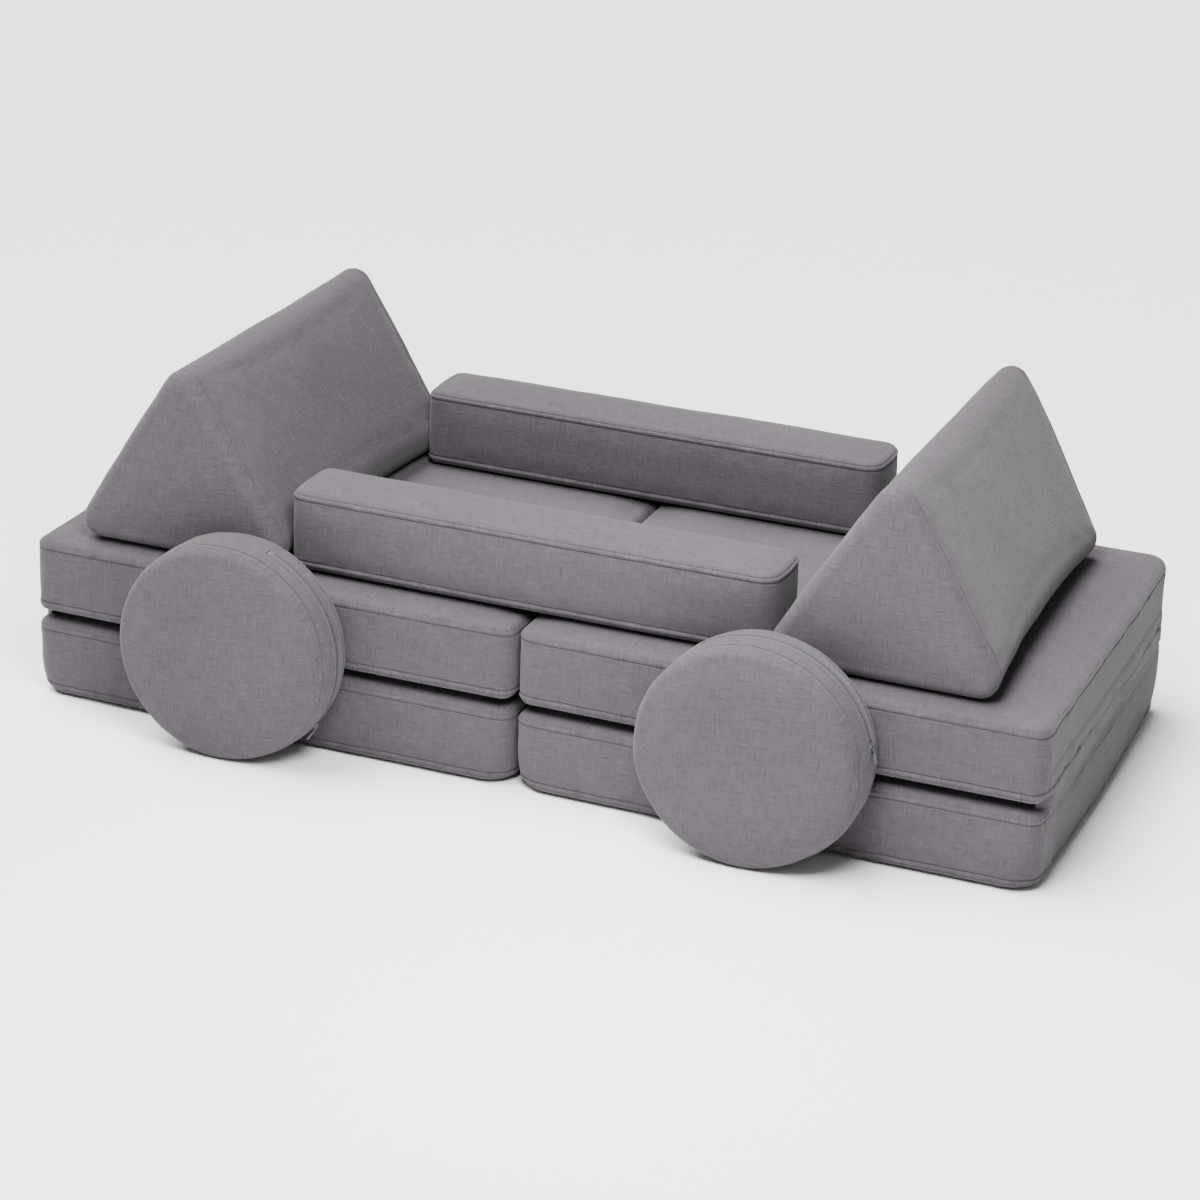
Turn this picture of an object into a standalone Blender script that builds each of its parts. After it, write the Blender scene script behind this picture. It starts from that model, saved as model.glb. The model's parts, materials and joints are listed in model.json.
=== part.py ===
"""Modular foam play sofa: two folding mats, two bars, two triangles and two discs.

Metres, +Z up, +X along the sofa, the open front towards -Y.
The origin is the middle of the whole footprint, on the floor.
Every block is a sewn cover with a foam core inside it, a zip in one wall and a slider on the zip.
"""
import math

import bmesh
import bpy
from mathutils import Matrix, Vector

# Folding mats: each one is two slabs, one on the other, joined by a fabric hinge at its outer end
MAT_LENGTH = 0.700
MAT_DEPTH = 0.650
SLAB_THICKNESS = 0.115
SLAB_CORNER = 0.026
LOWER_SETBACK = 0.0005
MAT_OPENING = 0.0006
HINGE_STRIP_REACH = 0.045
HINGE_STRIP_BEND = 0.012
HINGE_STRIP_LOW_BEND = 0.020
HINGE_STRIP_END_MARGIN = 0.036
HINGE_STRIP_THICKNESS = 0.0015

# Bars: two long blocks that lie along the sofa
BAR_LENGTH = 0.674
BAR_WIDTH = 0.112
BAR_THICKNESS = 0.116
BAR_CORNER = 0.020
BAR_CROWN_REACH = 0.026
FRONT_BAR_X = -0.002
FRONT_BAR_SETBACK = 0.037
BACK_BAR_X = -0.0095
BACK_BAR_SETBACK = 0.055

# Triangles: two prisms with their ridges from front to back
TRIANGLE_WIDTH = 0.343
TRIANGLE_PEAK = 0.279
TRIANGLE_DEPTH = 0.560
TRIANGLE_RIDGE_RADIUS = 0.031
TRIANGLE_FOOT_RADIUS = 0.041
LEFT_TRIANGLE_SETBACK = 0.0135
RIGHT_TRIANGLE_SETBACK = 0.0225
TRIANGLE_BAR_GAP = 0.003
TRIANGLE_EDGE_RADIUS = 0.020

# Discs: two round blocks that stand on the floor and lean on the front
DISC_RADIUS = 0.149
DISC_THICKNESS = 0.089
DISC_LEAN = math.radians(1.0)
LEFT_DISC_X = -0.374
RIGHT_DISC_X = 0.347
FLAT_DEPTH = 0.0005

# Sewn form that all blocks share
FABRIC = 0.002
EDGE_RADIUS = 0.012
CROWN = 0.005
CROWN_REACH = 0.050
SIDE_BULGE = 0.0015
BAND_BULGE = 0.0015
SEAM_DEPTH = 0.0008
SEAM_HALF_WIDTH = 0.0016
CORNER_STEPS = 3
DISC_STEPS = 36
LEAST_RADIUS = 0.004

# Clearances
GAP = 0.0003
OVERRUN = 0.020

# Zips
ZIP_HEIGHT = 0.009
MAT_ZIP_LENGTH = 0.500
BAR_ZIP_LENGTH = 0.480
TRIANGLE_ZIP_LENGTH = 0.200
TRIANGLE_ZIP_RISE = 0.034
DISC_ZIP_ANGLE = math.radians(110.0)
LEFT_DISC_ZIP_START = math.radians(-40.0)
RIGHT_DISC_ZIP_START = math.radians(10.0)
DISC_ZIP_STEPS = 11
ZIP_END_STOP = 0.006

# Zip slider: a body with a bridge and a pull that hangs from it
SLIDER_LENGTH = 0.010
SLIDER_WIDTH = 0.008
SLIDER_HEIGHT = 0.0028
BRIDGE_LENGTH = 0.0064
BRIDGE_WIDTH = 0.0030
BRIDGE_HEIGHT = 0.0022
PULL_LENGTH = 0.026
PULL_WIDTH = 0.0056
PULL_THICKNESS = 0.0014
PULL_HOLE_LENGTH = 0.0080
PULL_HOLE_WIDTH = 0.0028
PULL_HOLE_MARGIN = 0.0030
PULL_TURN_ALONG_BAND = math.radians(-90.0)

# Places that follow from the sizes
UPPER_LEVEL = SLAB_THICKNESS
SEAT_LEVEL = 2 * SLAB_THICKNESS
FOLD_X = MAT_LENGTH + GAP + HINGE_STRIP_THICKNESS / 2
FRONT_BAR_Y = -MAT_DEPTH / 2 + FRONT_BAR_SETBACK + BAR_WIDTH / 2
BACK_BAR_Y = MAT_DEPTH / 2 - BACK_BAR_SETBACK - BAR_WIDTH / 2
TRIANGLE_SLOPE = math.atan2(TRIANGLE_PEAK, TRIANGLE_WIDTH / 2)
TRIANGLE_FOOT_LOSS = TRIANGLE_FOOT_RADIUS * (1 / math.tan(TRIANGLE_SLOPE / 2) - 1)
TRIANGLE_REACH = TRIANGLE_BAR_GAP + TRIANGLE_WIDTH / 2 - TRIANGLE_FOOT_LOSS
LEFT_TRIANGLE_X = BACK_BAR_X - BAR_LENGTH / 2 - TRIANGLE_REACH
RIGHT_TRIANGLE_X = FRONT_BAR_X + BAR_LENGTH / 2 + TRIANGLE_REACH
DISC_BAND_RISE = DISC_THICKNESS / 2 * math.sin(DISC_LEAN)
DISC_CENTRE_HEIGHT = DISC_RADIUS * math.cos(DISC_LEAN) - DISC_BAND_RISE - FLAT_DEPTH
DISC_CONTACT_RISE = UPPER_LEVEL + SLAB_THICKNESS / 2 - DISC_CENTRE_HEIGHT
DISC_BACK_Y = -MAT_DEPTH / 2 - GAP - DISC_CONTACT_RISE * math.tan(DISC_LEAN)
SOFA_SHIFT_Y = (MAT_DEPTH / 2 - DISC_BACK_Y + DISC_THICKNESS * math.cos(DISC_LEAN)) / 2 - MAT_DEPTH / 2


def clear_scene():
    """Remove what the file holds already."""
    for obj in list(bpy.data.objects):
        bpy.data.objects.remove(obj, do_unlink=True)


def material(name, colour, roughness, metallic=0.0):
    """A plain Principled material."""
    mat = bpy.data.materials.new(name)
    mat.use_nodes = True
    shader = mat.node_tree.nodes["Principled BSDF"]
    shader.inputs["Base Color"].default_value = (*colour, 1.0)
    shader.inputs["Roughness"].default_value = roughness
    shader.inputs["Metallic"].default_value = metallic
    return mat


def mesh_object(name, mesh):
    """Link a mesh to the scene under a name."""
    obj = bpy.data.objects.new(name, mesh)
    bpy.context.scene.collection.objects.link(obj)
    return obj


def body_empty(name, place):
    """An empty on a body's joint axis; the body's pieces are parented to it."""
    empty = bpy.data.objects.new(name, None)
    empty.matrix_world = place
    bpy.context.scene.collection.objects.link(empty)
    return empty


def seat(obj, empty, place, mat):
    """Give a finished piece its material, its parent and its place in the world."""
    obj.data.materials.clear()
    obj.data.materials.append(mat)
    obj.parent = empty
    obj.matrix_basis = empty.matrix_world.inverted() @ place
    return obj


def combine(target, tool, operation):
    """Apply an exact Boolean to the target and remove the tool."""
    modifier = target.modifiers.new("boolean", 'BOOLEAN')
    modifier.operation = operation
    modifier.solver = 'EXACT'
    modifier.object = tool
    bpy.context.view_layer.update()
    graph = bpy.context.evaluated_depsgraph_get()
    mesh = bpy.data.meshes.new_from_object(target.evaluated_get(graph))
    target.modifiers.clear()
    target.data = mesh
    bpy.data.objects.remove(tool, do_unlink=True)
    return target


def rounded_outline(corners, radii, bulges, inset):
    """Points of a polygon moved inwards by inset, its corners rounded and its sides bowed out.

    Side i runs from corner i to the next, and bulges[i] is how far its middle stands out.
    """
    count = len(corners)
    points = [Vector(corner) for corner in corners]
    sides = [(points[(i + 1) % count] - points[i]).normalized() for i in range(count)]
    arcs = []
    for i in range(count):
        before = sides[i - 1]
        after = sides[i]
        turn = before.angle_signed(after)
        inward = (after - before) / math.sin(abs(turn))
        corner = points[i] + inward * inset
        radius = max(radii[i] - inset, LEAST_RADIUS)
        centre = corner + inward * radius
        start = Vector((before.y, -before.x)) * radius
        arcs.append([
            centre + Matrix.Rotation(abs(turn) * step / CORNER_STEPS, 2) @ start
            for step in range(CORNER_STEPS + 1)
        ])
    outline = []
    for i in range(count):
        outline += arcs[i]
        outward = Vector((sides[i].y, -sides[i].x))
        middle = (arcs[i][-1] + arcs[(i + 1) % count][0]) / 2
        outline.append(middle + outward * bulges[i])
    return outline


def block_outline(length, depth, corner, bulges):
    """A rectangle whose bulging sides just reach the overall length and depth.

    The bulges are those of the front, right, back and left side.
    """
    front, right, back, left = (bulge + BAND_BULGE for bulge in bulges)
    low = (-length / 2 + left, -depth / 2 + front)
    high = (length / 2 - right, depth / 2 - back)
    corners = [low, (high[0], low[1]), high, (low[0], high[1])]
    return lambda inset: rounded_outline(corners, [corner] * len(corners), bulges, inset)


def triangle_outline():
    """The end view of a triangle: flat underneath, with two bowed slopes."""
    half = TRIANGLE_WIDTH / 2 - BAND_BULGE
    corners = [(-half, BAND_BULGE), (half, BAND_BULGE), (0.0, TRIANGLE_PEAK)]
    radii = [TRIANGLE_FOOT_RADIUS, TRIANGLE_FOOT_RADIUS, TRIANGLE_RIDGE_RADIUS]
    return lambda inset: rounded_outline(corners, radii, (0.0, SIDE_BULGE, SIDE_BULGE), inset)


def disc_outline():
    """The round outline of a disc, widest at the bowed middle of its band."""
    def outline(inset):
        radius = DISC_RADIUS - BAND_BULGE - inset
        return [
            Vector((radius, 0.0)) @ Matrix.Rotation(-math.tau * step / DISC_STEPS, 2)
            for step in range(DISC_STEPS)
        ]
    return outline


def cover_profile(thickness, edge_radius, low_crown, high_crown, reach):
    """(inset, height) of the cover's rings, from the middle of the low panel to that of the high one."""
    arc_share = 1 - math.sqrt(0.5)

    def half(crown):
        edge = crown + edge_radius
        return [
            (edge_radius + reach, 0.0),
            (edge_radius, crown),
            (edge_radius * arc_share, crown + edge_radius * arc_share),
            (0.0, edge),
            (SEAM_DEPTH, edge + SEAM_HALF_WIDTH),
            (0.0, edge + 2 * SEAM_HALF_WIDTH),
        ]
    low = half(low_crown)
    high = [(inset, thickness - height) for inset, height in reversed(half(high_crown))]
    return low + [(-BAND_BULGE, thickness / 2)] + high


def lining_profile(thickness, edge_radius, low_crown, high_crown, reach, depth):
    """The same form at a depth under the cover's outside, without the seams."""
    def half(crown):
        return [
            (edge_radius + reach, depth),
            (edge_radius, crown + depth),
            (SEAM_DEPTH + depth, crown + edge_radius),
        ]
    low = half(low_crown)
    high = [(inset, thickness - height) for inset, height in reversed(half(high_crown))]
    return low + [(depth - BAND_BULGE, thickness / 2)] + high


def loft(name, outline, profile):
    """A closed solid through the outline at each (inset, height) of the profile."""
    bm = bmesh.new()
    rings = []
    for inset, height in profile:
        rings.append([bm.verts.new((point.x, point.y, height)) for point in outline(inset)])
    for low, high in zip(rings, rings[1:]):
        for i in range(len(low)):
            j = (i + 1) % len(low)
            bm.faces.new((low[i], low[j], high[j], high[i]))
    bm.faces.new(list(reversed(rings[0])))
    bm.faces.new(rings[-1])
    mesh = bpy.data.meshes.new(name)
    bm.to_mesh(mesh)
    bm.free()
    return mesh_object(name, mesh)


def box(name, low, high):
    """A box between two corners."""
    bm = bmesh.new()
    bmesh.ops.create_cube(bm, size=1.0)
    low = Vector(low)
    high = Vector(high)
    size = high - low
    bmesh.ops.scale(bm, vec=size, verts=bm.verts)
    bmesh.ops.translate(bm, vec=(low + high) / 2, verts=bm.verts)
    mesh = bpy.data.meshes.new(name)
    bm.to_mesh(mesh)
    bm.free()
    return mesh_object(name, mesh)


def sector(name, radii, heights, angles):
    """A part of a flat ring between two radii, two heights and two angles."""
    bm = bmesh.new()
    frames = []
    for step in range(DISC_ZIP_STEPS + 1):
        angle = angles[0] + (angles[1] - angles[0]) * step / DISC_ZIP_STEPS
        spoke = Vector((math.cos(angle), math.sin(angle), 0.0))
        corners = [(radii[0], heights[0]), (radii[1], heights[0]), (radii[1], heights[1]), (radii[0], heights[1])]
        frames.append([bm.verts.new(spoke * radius + Vector((0.0, 0.0, z))) for radius, z in corners])
    for first, second in zip(frames, frames[1:]):
        for i in range(len(first)):
            j = (i + 1) % len(first)
            bm.faces.new((first[i], first[j], second[j], second[i]))
    bm.faces.new(list(reversed(frames[0])))
    bm.faces.new(frames[-1])
    bmesh.ops.recalc_face_normals(bm, faces=bm.faces)
    mesh = bpy.data.meshes.new(name)
    bm.to_mesh(mesh)
    bm.free()
    return mesh_object(name, mesh)


def zip_slider(name, pull_turn):
    """A slider on the plane z = 0: its travel is along +X, and its pull lies at pull_turn from -Y."""
    body = box(name, (-SLIDER_LENGTH / 2, -SLIDER_WIDTH / 2, 0.0), (SLIDER_LENGTH / 2, SLIDER_WIDTH / 2, SLIDER_HEIGHT))
    bridge_top = SLIDER_HEIGHT + BRIDGE_HEIGHT
    bridge_low = SLIDER_HEIGHT / 2
    bridge = box(name + "_bridge", (-BRIDGE_LENGTH / 2, -BRIDGE_WIDTH / 2, bridge_low),
                 (BRIDGE_LENGTH / 2, BRIDGE_WIDTH / 2, bridge_top))
    pull_low = bridge_top - PULL_THICKNESS
    pull = box(name + "_pull", (-PULL_WIDTH / 2, -PULL_LENGTH, pull_low), (PULL_WIDTH / 2, 0.0, bridge_top))
    hole_end = -PULL_LENGTH + PULL_HOLE_MARGIN
    hole = box(name + "_hole", (-PULL_HOLE_WIDTH / 2, hole_end, pull_low - OVERRUN),
               (PULL_HOLE_WIDTH / 2, hole_end + PULL_HOLE_LENGTH, bridge_top + OVERRUN))
    combine(pull, hole, 'DIFFERENCE')
    pull.data.transform(Matrix.Rotation(pull_turn, 4, 'Z'))
    combine(body, bridge, 'UNION')
    return combine(body, pull, 'UNION')


def turned(columns, origin):
    """A placing matrix from the world directions of its three axes and its origin."""
    place = Matrix.Identity(4)
    for i, column in enumerate(columns):
        for row in range(3):
            place[row][i] = column[row]
    place.translation = Vector(origin)
    return place


def sewn_block(name, outline, thickness, form, slots, empty, place, floor_cut=None):
    """Cover, foam core and zip of one block, built in the block's own frame and then placed.

    The form is the edge radius, the crowns of the low and the high panel, and how far they reach in.
    """
    cover = loft(name + "_cover", outline, cover_profile(thickness, *form))
    lining = loft(name + "_lining", outline, lining_profile(thickness, *form, FABRIC))
    combine(cover, lining, 'DIFFERENCE')
    if floor_cut:
        combine(cover, floor_cut, 'DIFFERENCE')
    slot, filler = slots
    tape = mesh_object(name + "_zip", cover.data.copy())
    combine(tape, filler, 'INTERSECT')
    combine(cover, slot, 'DIFFERENCE')
    foam = loft(name + "_foam", outline, lining_profile(thickness, *form, FABRIC + GAP))
    seat(cover, empty, place, FABRIC_MATERIAL)
    seat(foam, empty, place, FOAM_MATERIAL)
    seat(tape, empty, place, ZIP_MATERIAL)


def straight_slots(length, wall_y, level):
    """The slot for a straight zip in a wall that faces +Y, and the zip tape's own space in it."""
    half = Vector((length / 2, OVERRUN, ZIP_HEIGHT / 2))
    middle = Vector((0.0, wall_y, level))
    tape_half = half - Vector((GAP, 0.0, GAP))
    return box("slot", middle - half, middle + half), box("filler", middle - tape_half, middle + tape_half)


def slab(side, level, name, empty):
    """One half of a folding mat; side is -1 for the left mat and 1 for the right one."""
    upper = level > 0
    length = MAT_LENGTH - MAT_OPENING / 2 - (0.0 if upper else LOWER_SETBACK)
    thickness = SLAB_THICKNESS - GAP
    outline = block_outline(length, MAT_DEPTH, SLAB_CORNER, (SIDE_BULGE, SIDE_BULGE, 0.0, SIDE_BULGE))
    centre_x = side * (MAT_OPENING / 2 + length / 2)
    place = Matrix.Translation((centre_x, SOFA_SHIFT_Y, level + (GAP if upper else 0.0)))
    slots = straight_slots(MAT_ZIP_LENGTH, MAT_DEPTH / 2, thickness / 2)
    form = (EDGE_RADIUS, 0.0, CROWN, CROWN_REACH)
    sewn_block(name, outline, thickness, form, slots, empty, place)
    wall = place @ Vector((0.0, MAT_DEPTH / 2, thickness / 2))
    straight_slider(name, MAT_ZIP_LENGTH, wall)


def straight_slider(name, length, wall):
    """The slider of a straight zip on a wall that faces +Y, with its pull hanging down."""
    start = wall + Vector((length / 2 - ZIP_END_STOP - SLIDER_LENGTH / 2, GAP, 0.0))
    place = turned(((-1, 0, 0), (0, 0, 1), (0, 1, 0)), start)
    slider = zip_slider(name + "_zip_slider", 0.0)
    seat(slider, body_empty(name + "_zip_pull", Matrix.Translation(start)), place, METAL_MATERIAL)


def bar(name, centre_x, centre_y):
    """A long bar on the seat, with its zip in the back wall."""
    level = SEAT_LEVEL + GAP
    outline = block_outline(BAR_LENGTH, BAR_WIDTH, BAR_CORNER, (SIDE_BULGE, SIDE_BULGE, 0.0, SIDE_BULGE))
    place = Matrix.Translation((centre_x, centre_y + SOFA_SHIFT_Y, level))
    slots = straight_slots(BAR_ZIP_LENGTH, BAR_WIDTH / 2, BAR_THICKNESS / 2)
    empty = body_empty(name, place)
    form = (EDGE_RADIUS, 0.0, CROWN, BAR_CROWN_REACH)
    sewn_block(name, outline, BAR_THICKNESS, form, slots, empty, place)
    wall = place @ Vector((0.0, BAR_WIDTH / 2, BAR_THICKNESS / 2))
    straight_slider(name, BAR_ZIP_LENGTH, wall)


def triangle(name, centre_x, setback):
    """A prism on the seat; its block frame has the thickness running from back to front."""
    level = SEAT_LEVEL + GAP
    back_y = -MAT_DEPTH / 2 + setback + TRIANGLE_DEPTH + SOFA_SHIFT_Y
    place = turned(((1, 0, 0), (0, 0, 1), (0, -1, 0)), (centre_x, back_y, level))
    middle = Vector((0.0, TRIANGLE_ZIP_RISE, 0.0))
    half = Vector((TRIANGLE_ZIP_LENGTH / 2, ZIP_HEIGHT / 2, TRIANGLE_EDGE_RADIUS))
    tape_half = half - Vector((GAP, GAP, 0.0))
    slots = (box("slot", middle - half, middle + half), box("filler", middle - tape_half, middle + tape_half))
    empty = body_empty(name, place)
    form = (TRIANGLE_EDGE_RADIUS, CROWN, CROWN, CROWN_REACH)
    sewn_block(name, triangle_outline(), TRIANGLE_DEPTH, form, slots, empty, place)
    crown_left = CROWN * (1 - (TRIANGLE_ZIP_RISE + ZIP_HEIGHT / 2 - TRIANGLE_EDGE_RADIUS) / CROWN_REACH)
    wall = Vector((centre_x, back_y - crown_left, level + TRIANGLE_ZIP_RISE))
    straight_slider(name, TRIANGLE_ZIP_LENGTH, wall)


def disc(name, centre_x, zip_start):
    """A disc that leans on the front; its block frame has the thickness running to the front."""
    up = Vector((0.0, math.sin(DISC_LEAN), math.cos(DISC_LEAN)))
    axle = Vector((0.0, -math.cos(DISC_LEAN), math.sin(DISC_LEAN)))
    origin = Vector((centre_x, DISC_BACK_Y + SOFA_SHIFT_Y, DISC_CENTRE_HEIGHT))
    place = turned(((1, 0, 0), up, axle), origin)
    heights = (DISC_THICKNESS / 2 - ZIP_HEIGHT / 2, DISC_THICKNESS / 2 + ZIP_HEIGHT / 2)
    radii = (DISC_RADIUS - OVERRUN, DISC_RADIUS + OVERRUN)
    angles = (zip_start, zip_start + DISC_ZIP_ANGLE)
    angle_gap = GAP / DISC_RADIUS
    slot = sector("slot", radii, heights, angles)
    filler = sector("filler", radii, (heights[0] + GAP, heights[1] - GAP),
                    (angles[0] + angle_gap, angles[1] - angle_gap))
    cut = box("floor_cut", (-DISC_RADIUS, -DISC_RADIUS, -DISC_RADIUS), (DISC_RADIUS, DISC_RADIUS, 0.0))
    cut.data.transform(place.inverted() @ Matrix.Translation((centre_x, origin.y, 0.0)))
    empty = body_empty(name, place)
    form = (EDGE_RADIUS, CROWN, CROWN, CROWN_REACH)
    sewn_block(name, disc_outline(), DISC_THICKNESS, form, (slot, filler), empty, place, cut)
    start_angle = zip_start + (ZIP_END_STOP + SLIDER_LENGTH / 2) / DISC_RADIUS
    spoke = place.to_3x3() @ Vector((math.cos(start_angle), math.sin(start_angle), 0.0))
    middle = place @ Vector((0.0, 0.0, DISC_THICKNESS / 2))
    slider_place = turned((axle.cross(spoke), axle, spoke), middle + spoke * (DISC_RADIUS + GAP))
    slider = zip_slider(name + "_zip_slider", PULL_TURN_ALONG_BAND)
    pull_empty = body_empty(name + "_zip_pull", turned(((1, 0, 0), up, axle), middle))
    seat(slider, pull_empty, slider_place, METAL_MATERIAL)


def hinge_strip(name, side, empty):
    """The fabric hinge: a thin band from the upper slab's outer end to the lower slab's."""
    upper_x = MAT_LENGTH + GAP
    lower_x = upper_x - LOWER_SETBACK
    line = [
        (upper_x, UPPER_LEVEL + HINGE_STRIP_REACH),
        (upper_x, UPPER_LEVEL + HINGE_STRIP_BEND),
        (lower_x, UPPER_LEVEL - HINGE_STRIP_LOW_BEND),
        (lower_x, UPPER_LEVEL - HINGE_STRIP_REACH),
    ]
    section = line + [(x + HINGE_STRIP_THICKNESS, z) for x, z in reversed(line)]
    half_depth = MAT_DEPTH / 2 - HINGE_STRIP_END_MARGIN
    bm = bmesh.new()
    ends = []
    for y in (-half_depth, half_depth):
        ends.append([bm.verts.new((side * x, y + SOFA_SHIFT_Y, z)) for x, z in section])
    for i in range(len(section)):
        j = (i + 1) % len(section)
        bm.faces.new((ends[0][i], ends[0][j], ends[1][j], ends[1][i]))
    bm.faces.new(ends[0])
    bm.faces.new(ends[1])
    bmesh.ops.recalc_face_normals(bm, faces=bm.faces)
    mesh = bpy.data.meshes.new(name)
    bm.to_mesh(mesh)
    bm.free()
    seat(mesh_object(name, mesh), empty, Matrix.Identity(4), FABRIC_MATERIAL)


def folding_mat(side_name, side):
    """Two slabs and their fabric hinge; the lower slab swings out about the hinge."""
    fold = Matrix.Translation((side * FOLD_X, SOFA_SHIFT_Y, UPPER_LEVEL))
    top = body_empty(side_name + "_seat", fold)
    base = body_empty(side_name + "_base", fold)
    slab(side, UPPER_LEVEL, side_name + "_upper", top)
    slab(side, 0.0, side_name + "_lower", base)
    hinge_strip(side_name + "_hinge_strip", side, top)


clear_scene()
FABRIC_MATERIAL = material("woven cover", (0.165, 0.155, 0.175), 0.92)
FOAM_MATERIAL = material("foam", (0.72, 0.68, 0.55), 0.95)
ZIP_MATERIAL = material("zip tape", (0.045, 0.043, 0.050), 0.80)
METAL_MATERIAL = material("zip metal", (0.10, 0.10, 0.11), 0.45, 0.8)

folding_mat("left", -1)
folding_mat("right", 1)
bar("front_bar", FRONT_BAR_X, FRONT_BAR_Y)
bar("back_bar", BACK_BAR_X, BACK_BAR_Y)
triangle("left_triangle", LEFT_TRIANGLE_X, LEFT_TRIANGLE_SETBACK)
triangle("right_triangle", RIGHT_TRIANGLE_X, RIGHT_TRIANGLE_SETBACK)
disc("left_disc", LEFT_DISC_X, LEFT_DISC_ZIP_START)
disc("right_disc", RIGHT_DISC_X, RIGHT_DISC_ZIP_START)
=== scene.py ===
"""Looks of the modular foam play sofa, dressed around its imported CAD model.

Ten sewn blocks (four mat slabs, two bars, two triangles, two discs) in a melange woven cover,
each with its foam core, seam stitching, zip and zip slider, and the two fabric hinges of the mats.
Metres, +Z up, the open front towards -Y.
"""
import json
import math

import bmesh
import bpy
import numpy as np
from bpy.props import FloatProperty, FloatVectorProperty, IntProperty, PointerProperty
from mathutils import Matrix, Vector, kdtree
from mathutils.bvhtree import BVHTree


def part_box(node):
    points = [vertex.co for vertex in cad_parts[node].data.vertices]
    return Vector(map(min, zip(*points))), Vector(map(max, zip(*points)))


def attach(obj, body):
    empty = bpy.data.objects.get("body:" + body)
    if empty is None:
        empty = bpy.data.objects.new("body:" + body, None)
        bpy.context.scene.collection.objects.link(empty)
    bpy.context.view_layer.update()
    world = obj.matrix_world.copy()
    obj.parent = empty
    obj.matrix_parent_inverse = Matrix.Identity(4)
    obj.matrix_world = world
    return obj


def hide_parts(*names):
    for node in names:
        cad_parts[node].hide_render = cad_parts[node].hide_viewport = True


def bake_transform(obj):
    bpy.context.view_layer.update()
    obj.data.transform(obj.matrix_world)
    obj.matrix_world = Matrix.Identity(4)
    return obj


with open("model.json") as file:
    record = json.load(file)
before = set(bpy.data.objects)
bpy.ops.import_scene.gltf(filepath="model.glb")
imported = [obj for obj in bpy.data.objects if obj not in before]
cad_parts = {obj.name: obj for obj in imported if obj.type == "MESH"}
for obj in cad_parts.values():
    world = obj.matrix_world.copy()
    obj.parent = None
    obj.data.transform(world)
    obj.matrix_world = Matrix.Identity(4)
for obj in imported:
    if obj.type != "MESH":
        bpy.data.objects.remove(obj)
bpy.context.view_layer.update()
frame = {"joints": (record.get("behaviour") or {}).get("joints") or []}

bl_info = {
    "name": "Modular foam play sofa",
    "version": (1, 0, 0),
    "blender": (4, 5, 0),
    "location": "View3D > Sidebar > Play Sofa",
    "description": "Builds the covers, foam, seams, zips and hinges of a ten-block foam play sofa",
    "category": "Add Mesh",
}

TINY = 1e-9
JOINTS = {joint["name"]: joint for joint in frame["joints"]}

# Sizes of the CAD blocks that a node's box doesn't give
SLAB_CORNER = 0.026
SLAB_BACK_CORNER = 0.042
BAR_CORNER = 0.020
BAR_RIGHT_CORNER = 0.026
TRIANGLE_WIDTH = 0.343
TRIANGLE_PEAK = 0.279
TRIANGLE_RIDGE_RADIUS = 0.031
TRIANGLE_FOOT_RADIUS = 0.041
DISC_RADIUS = 0.1485
DISC_THICKNESS = 0.089
DISC_ZIP_ANGLE = math.radians(110.0)
DISC_ZIP_STARTS = {"left_disc": math.radians(-40.0), "right_disc": math.radians(10.0)}

# Form of each kind of block; a pair of values is for the low (or back) and the high (or front) panel.
# edge: rounding between a panel and the band. crown: height of a panel's crown, which is full at reach from
# the rim. ridges: how strongly the folded seam allowance shows. pinch: corner radius at a panel, as a share
# of the radius at the middle of the band; pinched: how much of that each corner takes. squat: height that
# weight has left. slump: a front panel that has slipped across and down and is a little smaller.
FORMS = {
    "upper": {"edge": 0.013, "crown": (0.005, 0.005), "reach": 0.055, "ridges": (0.7, 0.35),
              "pinch": (0.60, 0.60)},
    "lower": {"edge": 0.013, "crown": (0.002, 0.006), "reach": 0.055, "ridges": (0.7, 0.6),
              "pinch": (1.85, 0.60)},
    "bar": {"edge": 0.011, "crown": (0.004, 0.004), "reach": 0.028, "ridges": (1.0, 1.0),
            "pinch": (0.60, 0.85), "squat": 1.014},
    "triangle": {"edge": 0.020, "crown": (0.004, 0.005), "reach": 0.050, "ridges": (0.0, 0.0),
                 "pinch": (0.60, 0.60), "pinched": (1.0, 1.0, 0.5)},
    "disc": {"edge": 0.015, "crown": (0.003, 0.005), "reach": 0.060, "ridges": (0.5, 0.4),
             "slump": (-0.0085, -0.003, 0.008)},
}
PINCH_POWER = 0.7
LEAST_RADIUS = 0.004
SLUMP_SPAN = (0.5, 1.0)

# What weight and use do to single blocks: fuller and wider outer ends, heights, and a foot tucked in
SLAB_FULLNESS = 0.002
SLAB_SPREAD = 0.005
SPREAD_SPAN = (0.52, 0.70)
SPREAD_LEVELS = (0.0, 0.45)
SPREAD_POWER = 0.7
TRIANGLE_SQUATS = {"left_triangle": 0.992, "right_triangle": 1.009}
TRIANGLE_TUCKS = {"left_triangle": 0.0, "right_triangle": 0.014}
TUCK_POWER = 1.5

# Bow of a block's walls along their length and of its band across it, and how deep the foam lies
SIDE_BULGE = 0.0015
BAND_BULGE = 0.0015
FOAM_DEPTH = 0.008

# Mesh of a block: half a corner's arc as a share of its radius, least steps of an arc and along a side, least
# rings of a band and of a panel, and points handled together
HALF_ARC = 0.8
LEAST_ARC_STEPS = 3
LEAST_SIDE_STEPS = 8
LEAST_BAND_RINGS = 3
LEAST_PANEL_RINGS = 6
POINTS_AT_ONCE = 2000

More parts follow.
